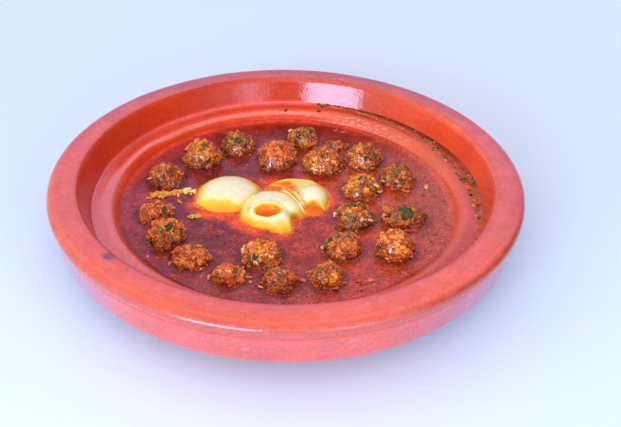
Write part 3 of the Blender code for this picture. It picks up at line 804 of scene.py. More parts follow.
def egg_colours(name, x, y, h, rho, top):
    white = np.array([0.94, 0.80, 0.49]) if name == "egg_front" else np.array([0.90, 0.76, 0.49]); cream = np.array([0.92, 0.73, 0.22])
    yellow = np.array([0.91, 0.50, 0.014]); orange = np.array([0.90, 0.27, 0.015]); red = np.array([0.80, 0.085, 0.008])
    p = np.stack([x, y, h], 1)
    n1 = fbm(p / 5.5, 61, 3); n2 = fbm(p / 1.9, 62, 2)
    e = h + 0.9 * n1 + 0.35 * n2              # height above the sauce, unevenly
    c = mixc(red, orange, sstep(-1.5, 0.4, e))
    c = mixc(c, yellow, sstep(0.3, 1.7, e))
    c = mixc(c, cream, sstep(1.9, 4.6, e))
    c = mixc(c, white, sstep(4.2, 7.2, e))
    # faint cream mottling; painted shade: the sides turned away from the light are painted yellow
    mott = fbm(p / 3.4 + 11, 63, 3)
    c = mixc(c, cream * [1.0, 1.03, 1.5], 0.40 * sstep(0.0, 0.42, mott))
    c = mixc(c, [0.93, 0.60, 0.06], 0.60 * sstep(0.62, 0.84, rho + 0.08 * n1 + 0.04 * n2) * sstep(-8.0, 2.0, y))
    c = mixc(c, [0.93, 0.53, 0.035], 0.85 * sstep(0.42, 0.84, rho + 0.06 * n1) * sstep(1.0, 7.0, y))
    c = mixc(c, [0.93, 0.46, 0.015], 0.75 * sstep(0.80, 0.96, rho + 0.05 * n1))
    if name == "egg_left":
        low = sstep(-10.5, -20.5, y + 0.20 * x + 1.6 * n1)
        c = mixc(c, cream, 0.8 * low); c = mixc(c, yellow, 0.85 * sstep(0.45, 1.0, low))
        c = mixc(c, orange, 0.6 * sstep(-17.0, -22.5, y + 1.4 * n1) * sstep(-21, -14, x))
    if name == "egg_front":
        d = np.hypot((x + 1.2) / 9.0, (y + 9.2) / 5.7) + 0.07 * n1
        c = mixc(c, cream, 0.9 * sstep(1.30, 1.12, d)); c = mixc(c, yellow, sstep(1.16, 1.0, d))
        c = mixc(c, [0.90, 0.21, 0.010], sstep(1.02, 0.86, d)); c = mixc(c, [0.78, 0.095, 0.005], 0.8 * sstep(0.80, 0.45, d))
        c = mixc(c, orange, 0.85 * gauss(np.hypot(x + 13.8, y + 5.4), 1.5))
        c = mixc(c, yellow, 0.6 * gauss(seg_dist(x, y, [(-15.0, -9.5), (-15.2, -3.0), (-12.0, 3.0)]), 1.3))
        tail = gauss(np.hypot(x - 10.5, y + 27.5), 5.0)
        c = mixc(c, [0.92, 0.40, 0.02], 0.9 * tail)
        c = mixc(c, yellow, 0.75 * gauss(np.hypot(x - 8.0, y + 20.5), 3.0))
        # painted shade: a dark spot at the notch in the near right edge
        c = mixc(c, [0.30, 0.03, 0.012], 0.9 * gauss(np.hypot((x - 17.6) / 1.3, y + 9.6), 2.6))
    if name == "egg_right":
        pool = np.hypot((x - 10.8) / 7.4, (y + 19.0) / 4.9) + 0.04 * n1
        c = mixc(c, yellow, sstep(1.16, 1.02, pool)); c = mixc(c, [0.82, 0.15, 0.01], sstep(1.02, 0.85, pool))
        f = np.minimum(seg_dist(x, y, [(-10.5, -1.0), (-5.6, -7.2), (-0.6, -14.4), (3.2, -21.4)]),
                       seg_dist(x, y, [(-2.2, -3.4), (0.9, -10.0), (3.6, -17.2)]) + 0.2)
        shelf = sstep(1.0, -4.5, x + 0.32 * (y - 6) + 1.2 * n1)
        c = mixc(c, mixc([0.92, 0.095, 0.005], [0.94, 0.25, 0.010], 0.5 + 0.6 * n2), 0.97 * shelf * sstep(16.0, 13.5, y - 0.10 * x + n1))
        c = mixc(c, [0.94, 0.56, 0.07], 0.85 * gauss(seg_dist(x, y, [(-19.0, 9.5), (-13.0, 6.5), (-7.8, 2.6), (-2.0, -4.0)]), 1.3) * np.clip(0.75 + 0.6 * n2, 0.2, 1))
        c = mixc(c, [0.86, 0.075, 0.006], 0.7 * gauss(seg_dist(x, y, [(-18.0, 5.8), (-12.0, 2.8), (-7.5, -1.5)]), 1.1))
        gap = seg_dist(x, y, [(-6.6, -2.2), (-2.6, -8.0), (1.6, -15.0), (5.0, -20.6)])
        c = mixc(c, [0.90, 0.30, 0.02], 0.85 * gauss(gap, 1.3))
        gap2 = seg_dist(x, y, [(-12.4, -3.4), (-7.8, -9.6), (-2.6, -17.0)])
        c = mixc(c, [0.90, 0.24, 0.02], 0.9 * gauss(gap2, 1.5))
        c = mixc(c, [0.94, 0.78, 0.34], 0.95 * gauss(f, 1.35))
        patchy = sstep(-0.15, 0.35, fbm(np.stack([x / 3.4, y / 1.5, 0 * x], 1) + 5, 64, 3))
        c = mixc(c, [0.94, 0.56, 0.045], 0.72 * patchy * sstep(4.0, 7.5, y + 0.12 * x) * sstep(-8.0, -3.0, x))
        back = seg_dist(x, y, [(-14, 13.6), (-5.4, 16.6), (4.0, 16.2), (12, 13.2)])
        c = mixc(c, [0.94, 0.66, 0.08], 0.85 * gauss(back, 2.8))
        c = mixc(c, [0.92, 0.72, 0.25], 0.6 * gauss(seg_dist(x, y, [(0, 12), (8, 10.5)]), 2.0))
    return c


def build_egg(name):
    lo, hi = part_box(name)
    c = np.array((lo + hi) / 2)
    n_t, n_r = 180, 74
    theta = np.arange(n_t) / n_t * 2 * math.pi
    out = radial(EGG_OUT[name], theta)
    rows, top_rows = [], []
    phis = np.linspace(0.012, math.pi / 2, n_r)
    fn = {"egg_left": egg_left_top, "egg_front": egg_front_top, "egg_right": egg_right_top}[name]
    X, Y, H, RHO, T = [], [], [], [], []
    for ph in phis:
        rho = np.full(n_t, math.sin(ph))
        wob = 1 + 0.012 * vnoise(np.stack([np.cos(theta) * 4, np.sin(theta) * 4, np.full(n_t, 3.0)], 1), 71) * rho
        x, y = out * rho * wob * np.cos(theta), out * rho * wob * np.sin(theta)
        X.append(x); Y.append(y); RHO.append(rho); H.append(fn(x, y, rho) - 1.0 * rho ** 6); T.append(np.ones(n_t))
    for ph in np.linspace(math.pi / 2, 0.03, 16)[1:]:
        rho = np.full(n_t, math.sin(ph))
        x, y = out * rho * np.cos(theta), out * rho * np.sin(theta)
        X.append(x); Y.append(y); RHO.append(rho); H.append(-1.0 - 6.4 * math.cos(ph) * np.ones(n_t)); T.append(np.zeros(n_t))
    X, Y, H, RHO, T = (np.concatenate(a) for a in (X, Y, H, RHO, T))
    p = np.stack([X, Y, H], 1)
    H = H + (0.16 * fbm(p / 4.0, 65, 3) + 0.05 * vnoise(p / 1.1, 66)) * T
    v = np.stack([c[0] + X * MM, c[1] + Y * MM, S + H * MM], 1)
    rows_n = n_r + 15
    f = [tuple(q) for q in grid_faces(rows_n, n_t).tolist()]
    v = np.concatenate([v, [v[:n_t].mean(0)], [v[-n_t:].mean(0)]])
    a, b = len(v) - 2, len(v) - 1
    last = (rows_n - 1) * n_t
    f += [(a, i, (i + 1) % n_t) for i in range(n_t)]
    f += [(b, last + (i + 1) % n_t, last + i) for i in range(n_t)]
    col = egg_colours(name, X, Y, H, RHO, T)
    col = np.concatenate([col, [col[:n_t].mean(0)], [col[-n_t:].mean(0)]])
    make(name.replace("egg", "poached_egg"), v, f, EGG, {"Col": col}, name)
    tri = [t for q in f for t in ([q] if len(q) == 3 else [(q[0], q[1], q[2]), (q[0], q[2], q[3])])]
    return v, np.array(tri), c, out


egg_data = {n: build_egg(n) for n in ("egg_left", "egg_right", "egg_front")}

# ------------------------------------------------------------------- sauce
R_WALL = bowl_radius_at(S / MM)


def egg_gap(x, y):
    """Plan distance in mm outside the nearest egg's outline (negative inside)."""
    best = np.full(len(x), 1e9)
    for n, (v, f, c, out) in egg_data.items():
        dx, dy = x - c[0] / MM, y - c[1] / MM
        rad = np.hypot(dx, dy); th_ = np.arctan2(dy, dx)
        best = np.minimum(best, rad - radial(EGG_OUT[n], th_))
    return best


def ball_gap(x, y):
    """Plan distance in mm outside the nearest ball's waterline, and its number."""
    best = np.full(len(x), 1e9); who = np.zeros(len(x), int)
    for num, (c, half) in ball_info.items():
        hh = (S - c[2]) / half[2]
        k = math.sqrt(max(0.05, 1 - hh * hh))
        a, b = half[0] / MM * k, half[1] / MM * k
        dx, dy = x - c[0] / MM, y - c[1] / MM
        q = np.hypot(dx / a, dy / b)
        d = (q - 1) * (a + b) / 2
        who = np.where(d < best, num, who); best = np.minimum(best, d)
    return best, who


RING_AZ = np.arange(0, 361, 30.0)
RING_C = np.array([(.37, .063, .027), (.33, .039, .015), (.22, .012, .003), (.18, .009, .002), (.27, .020, .009), (.25, .018, .017),
                   (.36, .028, .030), (.30, .028, .028), (.33, .044, .042), (.37, .054, .044), (.50, .055, .030), (.42, .062, .029), (.37, .063, .027)])
EDGE_AZ = np.array([0, 30, 45, 60, 75, 90, 105, 120, 135, 150, 165, 175, 185, 210, 240, 300, 330, 360.0])
EDGE_K = np.array([0.8, 0.7, 0.7, 0.75, 0.85, 0.95, 0.95, 0.95, 0.95, 0.95, 0.85, 0.4, 0.15, 0.1, 0.0, 0.1, 0.45, 0.8])
EDGE_W = np.array([3.0, 4.0, 4.0, 5.0, 5.0, 7.0, 8.0, 9.0, 10.0, 9.0, 6.0, 3.0, 2.0, 2.0, 2.0, 2.0, 2.5, 3.0])


def build_sauce():
    n_t, n_r = 486, 138
    theta = np.arange(n_t) / n_t * 2 * math.pi
    radii = np.concatenate([[0.6], np.linspace(1.5, R_WALL + 0.9, n_r - 1)])
    r = np.repeat(radii, n_t); t = np.tile(theta, n_r)
    edge = R_WALL + out_of_round(np.full(n_t, R_WALL), theta)
    r = r * np.tile(edge / R_WALL, n_r)
    x, y = r * np.cos(t), r * np.sin(t)
    x0, y0 = CX / MM, CY / MM
    x, y = x + x0, y + y0
    p = np.stack([x, y, np.zeros(len(x))], 1)
    eg = egg_gap(x, y); bg, who = ball_gap(x, y)
    wall = np.tile(edge, n_r) - r
    n_low = fbm(p / 30, 81, 2); n6 = fbm(p / 7.5, 82, 3); n2 = fbm(p / 2.2, 83, 3); n1 = vnoise(p / 0.9, 84)
    h = 0.10 * n6 + 0.07 * n2 + 0.03 * n1
    h = h + 0.85 * gauss(np.clip(bg, 0, None), 1.5) * (0.8 + 0.4 * n6) + 0.55 * gauss(np.clip(eg, 0, None), 1.8)
    h = h + 0.9 * gauss(np.clip(wall, 0, None), 1.5)
    # colour: darker at the left and round the edge, browner orange to the right
    dark = np.array([0.150, 0.0085, 0.010]); mid = np.array([0.285, 0.0145, 0.0075]); warm = np.array([0.62, 0.062, 0.013])
    side = sstep(-95, 85, x + 14 * n_low)
    c = mixc(dark, mid, sstep(0.0, 0.55, side + 0.25 * n6))
    c = mixc(c, warm, 0.85 * sstep(0.50, 1.0, side + 0.20 * n6 + 0.10 * n2))
    c = mixc(c, warm, 0.55 * sstep(0.15, 0.75, n6 + 0.3 * n2) * sstep(20, 60, x + 60))
    c = mixc(c, dark, 0.55 * sstep(0.05, 0.6, -n6 + 0.25 * n2) * (1 - 0.6 * side))
    # curdled patches between dark pools
    f1, f2, cid = worley(np.stack([x, y, np.zeros(len(x))], 1) / 2.6 + 0.25 * np.stack([n2, n1, n2 * 0], 1), 85)
    pick = cell_rand(cid, 2)
    clump = sstep(0.55, 0.25, f1) * (pick > 0.62) * sstep(-0.5, 0.4, n6 + 0.35 * (side - 0.5))
    c = mixc(c, mixc([0.50, 0.062, 0.016], [0.62, 0.15, 0.035], pick), 0.50 * clump)
    h = h + 0.10 * clump
    # bright oil next to the eggs
    oil = np.array([0.86, 0.085, 0.008]); oil2 = np.array([0.90, 0.21, 0.012])
    halo = gauss(np.clip(eg, 0, None), 2.0) * 0.9
    lower = sstep(-6, -16, y) * sstep(-70, -60, x) * sstep(-8, -22, x)
    halo = np.maximum(halo, lower * sstep(12.5, 4.0, eg + 2.6 * n6 + 1.2 * n2))
    halo = np.maximum(halo, 0.9 * gauss(np.hypot((x - 31) / 2.6, (y - 4) / 10.5), 1.0))
    halo = np.maximum(halo, 0.85 * gauss(np.hypot((x + 13) / 8.5, (y - 24) / 6.0), 1.0))
    halo = np.maximum(halo, 0.75 * gauss(np.hypot((x + 66) / 5.0, (y + 6) / 6.0), 1.0))
    halo = np.maximum(halo, 0.8 * gauss(np.hypot((x + 4) / 9.0, (y + 42) / 4.0), 1.0))
    c = mixc(c, oil, np.clip(halo + 0.12 * n6 * halo, 0, 0.97))
    c = mixc(c, oil2, 0.8 * gauss(np.clip(eg, 0, None), 1.0))
    # outer ring: lighter at the left and right; painted shade makes it near black-red under the back wall
    az_ = np.degrees(np.arctan2(y - y0, x - x0)) % 360
    ring = np.stack([np.interp(az_ + 9 * n6, RING_AZ, RING_C[:, k]) for k in range(3)], 1)
    rr_ = np.hypot(x - x0, y - y0)
    ring = ring * (1 + 0.30 * n6 + 0.18 * n2)[:, None]
    c = mixc(c, ring, 0.85 * sstep(66, 90, rr_ + 6 * n6) * (1 - 0.8 * np.clip(halo, 0, 1)))
    # reddish broad warmth in the middle of the pan
    c = mixc(c, [0.50, 0.040, 0.010], 0.30 * gauss(np.hypot((x - 20) / 34, (y + 50) / 22), 1.0) * (0.7 + 0.5 * n6))
    # dark rings next to the balls and at the wall: painted shade
    c = mixc(c, [0.060, 0.005, 0.007], 0.74 * gauss(np.clip(bg - 1.4, 0, None), 2.4) * (0.75 + 0.5 * n6))
    # painted shadow: darker just to the right of the balls in the right half of the pan
    off_, who_ = ball_gap(x - 2.2, y - 0.6)
    painted_lee_shadow = gauss(np.clip(off_, 0, None), 1.7) * sstep(0.2, 1.6, bg) * sstep(20, 40, x)
    c = mixc(c, [0.075, 0.006, 0.008], 0.50 * painted_lee_shadow * (0.7 + 0.5 * n6))
    # thin sauce over the wall lets the orange glaze through
    thin = np.interp(az_, EDGE_AZ, EDGE_K); wide = np.interp(az_, EDGE_AZ, EDGE_W)
    thin = thin * np.exp(-(np.clip(wall, 0, None) / (wide * (1 + 0.25 * n6))) ** 1.7)
    behind = sstep(30, 64, az_) * sstep(182, 165, az_)
    rim_col = mixc(np.array([0.50, 0.034, 0.012]), [0.76, 0.062, 0.018], sstep(6.5, 0.8, wall + 1.2 * n6))
    c = mixc(c, mixc(np.array([0.76, 0.095, 0.034]), rim_col, behind), thin)
    # painted shade: dark along the wall where the glaze doesn't show through
    c = mixc(c, [0.105, 0.007, 0.006], 0.50 * gauss(np.clip(wall, 0, None), 1.5) * (1 - thin))
    c = c * np.array([1.04, 0.90, 1.0])
    gloss = 1.0 - 0.68 * behind * sstep(84, 98, rr_)
    rough = 0.075 + 0.05 * np.clip(side + 0.4 * n6, 0, 1.2) + 0.07 * clump - 0.02 * np.clip(halo, 0, 1)
    speck = np.clip(0.25 + 0.9 * side + 0.5 * n6, 0, 1) * (1 - 0.8 * np.clip(halo, 0, 1))
    top = np.stack([x * MM, y * MM, S + h * MM], 1)
    # side and underside follow the bowl
    lowr = []
    for z in (S / MM - 1.2, 24, 19, 15, 12.9):
        rz = bowl_radius_at(z) - 0.25 + out_of_round(np.full(n_t, bowl_radius_at(z)), theta)
        lowr.append(np.stack([(x0 + rz * np.cos(theta)) * MM, (y0 + rz * np.sin(theta)) * MM, np.full(n_t, z * MM)], 1))
    for rz in (60.0, 25.0, 4.0):
        lowr.append(np.stack([(x0 + rz * np.cos(theta)) * MM, (y0 + rz * np.sin(theta)) * MM, np.full(n_t, 12.5 * MM)], 1))
    v = np.concatenate([top] + lowr)
    rows_n = n_r + len(lowr)
    f = [tuple(q) for q in grid_faces(rows_n, n_t).tolist()]
    v = np.concatenate([v, [[CX, CY, S + h[:n_t].mean() * MM]], [[CX, CY, 12.5 * MM]]])
    a, b = len(v) - 2, len(v) - 1
    last = (rows_n - 1) * n_t
    f += [(a, i, (i + 1) % n_t) for i in range(n_t)]
    f += [(b, last + (i + 1) % n_t, last + i) for i in range(n_t)]
    extra = len(v) - len(x)
    pad = lambda q, w: np.concatenate([q, np.tile(np.asarray(w, float), (extra, 1)) if np.ndim(w) else np.full(extra, w)])
    make("sauce_surface", v, f, SAUCE, {"Col": pad(c, mid), "Rough": pad(rough, 0.2), "Speck": pad(speck * (1 - 0.8 * behind * sstep(84, 98, rr_)), 0.3), "Gloss": pad(gloss, 0.3)}, "sauce")
    tf = grid_faces(n_r, n_t)
    tri = np.concatenate([tf[:, [0, 1, 2]], tf[:, [0, 2, 3]]])
    return top, tri


sauce_top, sauce_tri = build_sauce()

# ------------------------------------------------ surfaces that bits lie on
dq = grid_faces(nr, NT)
upper = np.array([q for q in dq.tolist()])
dish_tri = np.concatenate([upper[:, [0, 1, 2]], upper[:, [0, 2, 3]]])
TREES = [tree_of(sauce_top, sauce_tri), tree_of(verts, dish_tri)]
TREES += [tree_of(v, f) for v, f in ball_meshes.values()]
TREES += [tree_of(v, f) for v, f, c, o in egg_data.values()]


def surface_z(x, y):
    """Highest surface under (x, y) in metres."""
    best = -1.0
    for t in TREES:
        hit = t.ray_cast(Vector((x, y, 0.2)), Vector((0, 0, -1)))
        if hit[0] is not None:
            best = max(best, hit[0].z)
    return best


def surface_many(xy):
    return np.array([surface_z(x, y) for x, y in xy])


def rot2(a):
    return np.array([[math.cos(a), -math.sin(a)], [math.sin(a), math.cos(a)]])


class Bits:
    """Many small loose bits gathered into one mesh."""
    def __init__(self):
        self.v, self.f, self.c, self.n = [], [], [], 0

    def add(self, v, f, c):
        self.v.append(v); self.f += [tuple(i + self.n for i in q) for q in f]
        self.c.append(np.broadcast_to(c, (len(v), 3)) if np.ndim(c) == 1 else c)
        self.n += len(v)

    def make(self, name, mat, slot=None, node=None):
        if self.n:
            return make(name, np.concatenate(self.v), self.f, mat, {"Col": np.concatenate(self.c)}, node)


ICO2_V, ICO2_F = ico(2)
ICO3_V, ICO3_F = ico(3)
ICO4_V, ICO4_F = ico(4)


def lump(bits, x, y, size, col, rng_, lift=0.35, turn=None, tilt=0.25, detail=2, rough=0.22, z=None):
    """An uneven crumb of half sizes (a, b, c) mm at x, y mm, part sunk in what it lies on."""
    V, Fc = {2: (ICO2_V, ICO2_F), 3: (ICO3_V, ICO3_F), 4: (ICO4_V, ICO4_F)}[detail]
    a, b, c = size
    off = rng_.uniform(0, 50, 3)
    k = 1 + rough * fbm(V * 1.4 + off, 91, 2) + 0.4 * rough * vnoise(V * 3.6 + off, 92)
    if detail >= 4:
        g1_, g2_, gid_ = worley(V * np.array([a, b, c]) / 1.7 + off + 0.5 * vnoise(V * 4 + off, 90)[:, None], 89)
        k = k + 0.22 * (cell_rand(gid_, 1) - 0.5) - 0.12 * (1 - sstep(0, 0.3, g2_ - g1_))
    v = V * np.array([a, b, c]) * k[:, None]
    t = rng_.uniform(0, math.pi) if turn is None else math.radians(turn)
    v[:, :2] = v[:, :2] @ rot2(t).T
    tl = rng_.uniform(-tilt, tilt)
    v[:, 2] += v[:, 0] * tl
    z0 = (surface_z(x * MM, y * MM) / MM if z is None else z) + c * lift
    v = (v + [x, y, z0]) * MM
    shade = 1 + 0.25 * vnoise(V * 2.2 + off, 93)
    # grains vary in tone, and the grooves between them are painted darker, painted shade
    if detail >= 4:
        shade = shade * (0.72 + 0.5 * cell_rand(gid_, 2)) * (0.55 + 0.45 * sstep(0, 0.25, g2_ - g1_))
    bits.add(v, Fc.tolist(), np.asarray(col)[None, :] * shade[:, None])


def leaf(bits, x, y, length, width, turn, col, rng_, thick=0.28, curl=0.0, lobes=3, lift=0.12, n=14, m=7):
    """A draped scrap of leaf, mm."""
    u = np.linspace(-1, 1, n); w = np.linspace(-1, 1, m)
    U, Wd = np.meshgrid(u, w, indexing="ij")
    off = rng_.uniform(0, 50)
    shape = np.sqrt(np.clip(1 - (np.abs(U) ** 2.2), 0, 1)) * (1 + 0.22 * np.sin(lobes * math.pi * U + off) + 0.18 * vnoise(np.stack([U.ravel() * 3 + off, Wd.ravel() * 0.3, Wd.ravel() * 0], 1), 94).reshape(U.shape))
    lx = U * length / 2; ly = Wd * width / 2 * np.clip(shape, 0.06, None)
    xy = np.stack([lx.ravel(), ly.ravel()], 1) @ rot2(math.radians(turn)).T + [x, y]
    z = surface_many(xy * MM) / MM
    # smooth the drape a little so that it bridges crevices
    zg = z.reshape(U.shape)
    for _ in range(3):
        q = zg.copy()
        q[1:-1] = np.maximum(zg[1:-1] - 0.25, (zg[:-2] + zg[2:] + 2 * zg[1:-1]) / 4)
        q[:, 1:-1] = np.maximum(q[:, 1:-1] - 0.1, (q[:, :-2] + q[:, 2:] + 2 * q[:, 1:-1]) / 4)
        zg = q
    zg = zg + lift + curl * (U ** 2) + 0.25 * (1 - Wd ** 2) * 0.5 * np.sign(curl + 0.01)
    vein = gauss(Wd, 0.16)
    topv = np.stack([xy[:, 0], xy[:, 1], (zg + thick).ravel() - 0.08 * vein.ravel()], 1)
    botv = np.stack([xy[:, 0], xy[:, 1], (zg - 0.25).ravel()], 1)
    v = np.concatenate([topv, botv]) * MM
    f = []
    N = n * m
    for i in range(n - 1):
        for j in range(m - 1):
            a, b, c, d = i * m + j, (i + 1) * m + j, (i + 1) * m + j + 1, i * m + j + 1
            f.append((a, b, c, d)); f.append((N + d, N + c, N + b, N + a))
    ring = [i * m for i in range(n)] + [(n - 1) * m + j for j in range(1, m)] + [i * m + m - 1 for i in range(n - 2, -1, -1)] + [j for j in range(m - 2, 0, -1)]
    for a, b in zip(ring, ring[1:] + ring[:1]):
        f.append((b, a, N + a, N + b))
    shade = (0.85 + 0.3 * rng_.random(len(topv))) * (1 + 0.25 * vein.ravel())
    c = np.asarray(col)[None, :] * np.concatenate([shade, shade])[:, None]
    bits.add(v, f, c)


GREEN = np.array([0.105, 0.088, 0.008]); DEEP = np.array([0.048, 0.040, 0.006]); OLIVE = np.array([0.14, 0.115, 0.016])
rng = np.random.default_rng(7)


def ball_xy(num, dx, dy):
    c = ball_info[num][0] / MM
    return c[0] + dx, c[1] + dy


# chopped herb on the balls and in the sauce: ball, offset, length, width, turn, colour
herbs = Bits()
for num, dx, dy, L, W, turn, col in (
        (1, 1.8, -2.5, 4.6, 3.0, 40, GREEN), (2, 0.2, -6.2, 6.4, 4.2, 15, np.array([0.036, 0.050, 0.016])),
        (2, -5.5, -3.0, 3.6, 2.2, 70, OLIVE), (9, -1.5, -1.5, 5.2, 3.4, 60, DEEP), (10, 0.5, 1.8, 7.2, 4.6, 20, DEEP),
        (10, -3.8, 0.5, 4.0, 2.4, 80, GREEN), (10, -6.0, -6.0, 3.2, 2.0, 10, OLIVE),
        (8, -1.0, -5.5, 5.0, 3.2, 30, GREEN), (8, -4.0, -1.5, 3.2, 2.2, 100, OLIVE),
        (19, 2.5, -3.0, 6.0, 4.4, 50, DEEP), (19, -2.5, -7.0, 5.0, 3.4, 20, OLIVE), (20, 6.5, -3.0, 5.0, 3.4, 75, DEEP),
        (20, 3.0, 2.5, 3.2, 2.0, 10, OLIVE), (16, -4.5, -9.0, 6.0, 3.6, 20, DEEP), (16, -8.0, -8.0, 3.6, 2.4, 60, GREEN),
        (13, -9.0, -1.0, 5.2, 3.4, 30, DEEP), (13, 3.5, 5.0, 3.6, 2.4, 80, OLIVE), (15, 1.5, 5.5, 4.6, 3.0, 15, GREEN),
        (14, -5.0, -3.5, 5.0, 3.4, 40, OLIVE), (14, 1.5, 6.5, 3.4, 2.0, 0, GREEN), (4, -3.5, -5.5, 4.6, 3.0, 50, DEEP),
        (4, 3.5, -1.5, 4.4, 2.8, 30, OLIVE), (21, 0.5, 2.0, 3.4, 2.2, 20, OLIVE), (7, -5.0, 3.0, 3.0, 2.0, 60, OLIVE),
        (12, 5.5, 3.0, 3.2, 2.0, 40, OLIVE), (18, 2.0, 2.0, 3.0, 1.8, 20, OLIVE), (17, 4.0, -2.0, 3.2, 2.0, 60, OLIVE)):
    x, y = ball_xy(num, dx, dy)
    leaf(herbs, x, y, L, W, turn, col, rng)
herbs.make("herb_flecks", HERB)

big_leaf = Bits()
x, y = ball_xy(11, 0.6, -3.4)
leaf(big_leaf, x, y, 10.5, 7.6, -22, [0.058, 0.060, 0.014], rng, thick=0.3, curl=0.3, lobes=3, n=30, m=17, lift=0.15)
big_leaf.make("herb_leaf", HERB)


PALE = np.array([0.86, 0.56, 0.30]); GOLD = np.array([0.90, 0.48, 0.06]); AMBER = np.array([0.84, 0.27, 0.020])
BRICK = np.array([0.62, 0.075, 0.016]); TOMATO_RED = np.array([0.76, 0.085, 0.030]); BROWN = np.array([0.36, 0.085, 0.016])
DARK = np.array([0.055, 0.012, 0.006]); ROSE = np.array([0.80, 0.26, 0.16])


def box_mid(node):
    lo_, hi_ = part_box(node)
    return (lo_.x + hi_.x) / 2 / MM, (lo_.y + hi_.y) / 2 / MM, (hi_.x - lo_.x) / MM, (hi_.y - lo_.y) / MM


# torn strand of egg left of the eggs, in place of the plain solid
shred = Bits()
sx, sy, sw, sd = box_mid("egg_shred")
path = [(-0.50, -0.35), (-0.22, -0.16), (0.04, 0.10), (0.30, 0.42), (0.50, 0.20)]
for k in range(64):
    t = rng.random() * (len(path) - 1); i = min(int(t), len(path) - 2); f_ = t - i
    px_ = path[i][0] * (1 - f_) + path[i + 1][0] * f_; py_ = path[i][1] * (1 - f_) + path[i + 1][1] * f_
    x = sx + px_ * sw + rng.normal(0, 1.5); y = sy + py_ * sd + rng.normal(0, 1.9)
    right_end = px_ + rng.normal(0, 0.16) > 0.08
    col = ((GOLD, [0.92, 0.66, 0.16], AMBER, GOLD, [0.93, 0.74, 0.34]) if right_end else ([0.88, 0.40, 0.26], AMBER, [0.86, 0.17, 0.03], GOLD, [0.84, 0.22, 0.10]))[rng.integers(5)]
    lump(shred, x, y, (rng.uniform(1.0, 2.7), rng.uniform(0.7, 1.35), rng.uniform(0.6, 1.1)), col, rng,
         turn=rng.normal(35, 28), detail=3, rough=0.34, z=S / MM + rng.uniform(-0.1, 0.55))
lump(shred, sx, sy, (sw * 0.40, 1.5, 1.5), GOLD, rng, turn=14, detail=4, rough=0.42, z=S / MM - 1.0)
shred.make("egg_shreds", EGG, "egg", "egg_shred")

bit = Bits()
bx, by, bw, bd = box_mid("egg_bit")
lump(bit, bx, by, (bw * 0.42, bd * 0.36, 1.6), [0.92, 0.62, 0.09], rng, turn=10, detail=4, rough=0.45, z=S / MM - 0.6)
for k in range(9):
    lump(bit, bx + rng.normal(0, bw * 0.30), by + rng.normal(0, bd * 0.24), (rng.uniform(0.7, 1.5), rng.uniform(0.5, 0.9), 0.7), (GOLD, PALE, AMBER)[rng.integers(3)], rng, detail=3, rough=0.35, z=S / MM + 0.1)
bit.make("egg_scrap", EGG, "egg", "egg_bit")

tom = Bits()
tx, ty, tw, td = box_mid("tomato_piece")
lump(tom, tx, ty, (tw * 0.47, td * 0.42, 1.5), TOMATO_RED, rng, turn=0, detail=4, rough=0.30, z=S / MM - 0.75)
lump(tom, tx + 1.4, ty + 0.6, (tw * 0.26, td * 0.20, 0.8), [0.84, 0.16, 0.075], rng, turn=25, detail=3, rough=0.35, z=S / MM + 0.2)
for k, (dx, dy) in enumerate(((-2.6, 1.4), (-1.0, 0.5), (0.9, -0.2), (2.8, -0.2), (4.2, 0.6))):
    lump(tom, tx + dx, ty + dy, (1.35, 0.38, 0.32), [0.90, 0.42, 0.26], rng, turn=-20 + 14 * k, detail=3, rough=0.3, z=S / MM + 0.72)
tom.make("tomato_scrap", TOMATO, "tomato", "tomato_piece")

# cooked onion: curved slivers (x, y, length, width, turn, colour)
onion = Bits()


def sliver(bits, x, y, length, width, turn, col, bend=0.25, thick=0.8, z=None):
    """Curved strip, mm, lying on what is under its middle."""
    z0 = surface_z(x * MM, y * MM) / MM if z is None else z
    n = 15; m = 8
    off = rng.uniform(0, 40)
    V, F = [], []
    for i in range(n):
        u = i / (n - 1) * 2 - 1
        cx_, cy_ = u * length / 2, bend * length * (1 - u * u)
        w = width / 2 * math.sqrt(max(0.02, 1 - abs(u) ** 3)) * (1 + 0.2 * math.sin(5 * u + off))
        tx_, ty_ = 1.0, -2 * bend * u * 2; l = math.hypot(tx_, ty_); nx, ny = -ty_ / l, tx_ / l
        for j in range(m):
            a = j / m * 2 * math.pi
            o, up_ = math.cos(a) * w, math.sin(a) * thick / 2 * math.sqrt(max(0.05, 1 - abs(u) ** 3))
            V.append((cx_ + nx * o, cy_ + ny * o, up_ + 0.25 * math.sin(3 * u + off)))
    for i in range(n - 1):
        for j in range(m):
            a, b = i * m + j, i * m + (j + 1) % m
            F.append((a, a + m, b + m, b))
    F.append(tuple(range(m))); F.append(tuple(reversed([(n - 1) * m + j for j in range(m)])))
    V = np.array(V); V[:, :2] = V[:, :2] @ rot2(math.radians(turn)).T
    V[:, 2] += 0.12 * vnoise(V / 1.2 + off, 95)
    col_ = np.asarray(col)[None, :] * (1 + 0.22 * vnoise(V / 1.6 + off, 96))[:, None]
    bits.add((V + [x, y, z0 + thick * 0.28]) * MM, F, col_)


def near_ball(num, az, d, up_=None):
    """Point next to ball num at azimuth az, d mm out from its waterline."""
    c, half = ball_info[num]
    a = math.radians(az)
    return c[0] / MM + (half[0] / MM * 0.95 + d) * math.cos(a), c[1] / MM + (half[1] / MM * 0.95 + d) * math.sin(a)


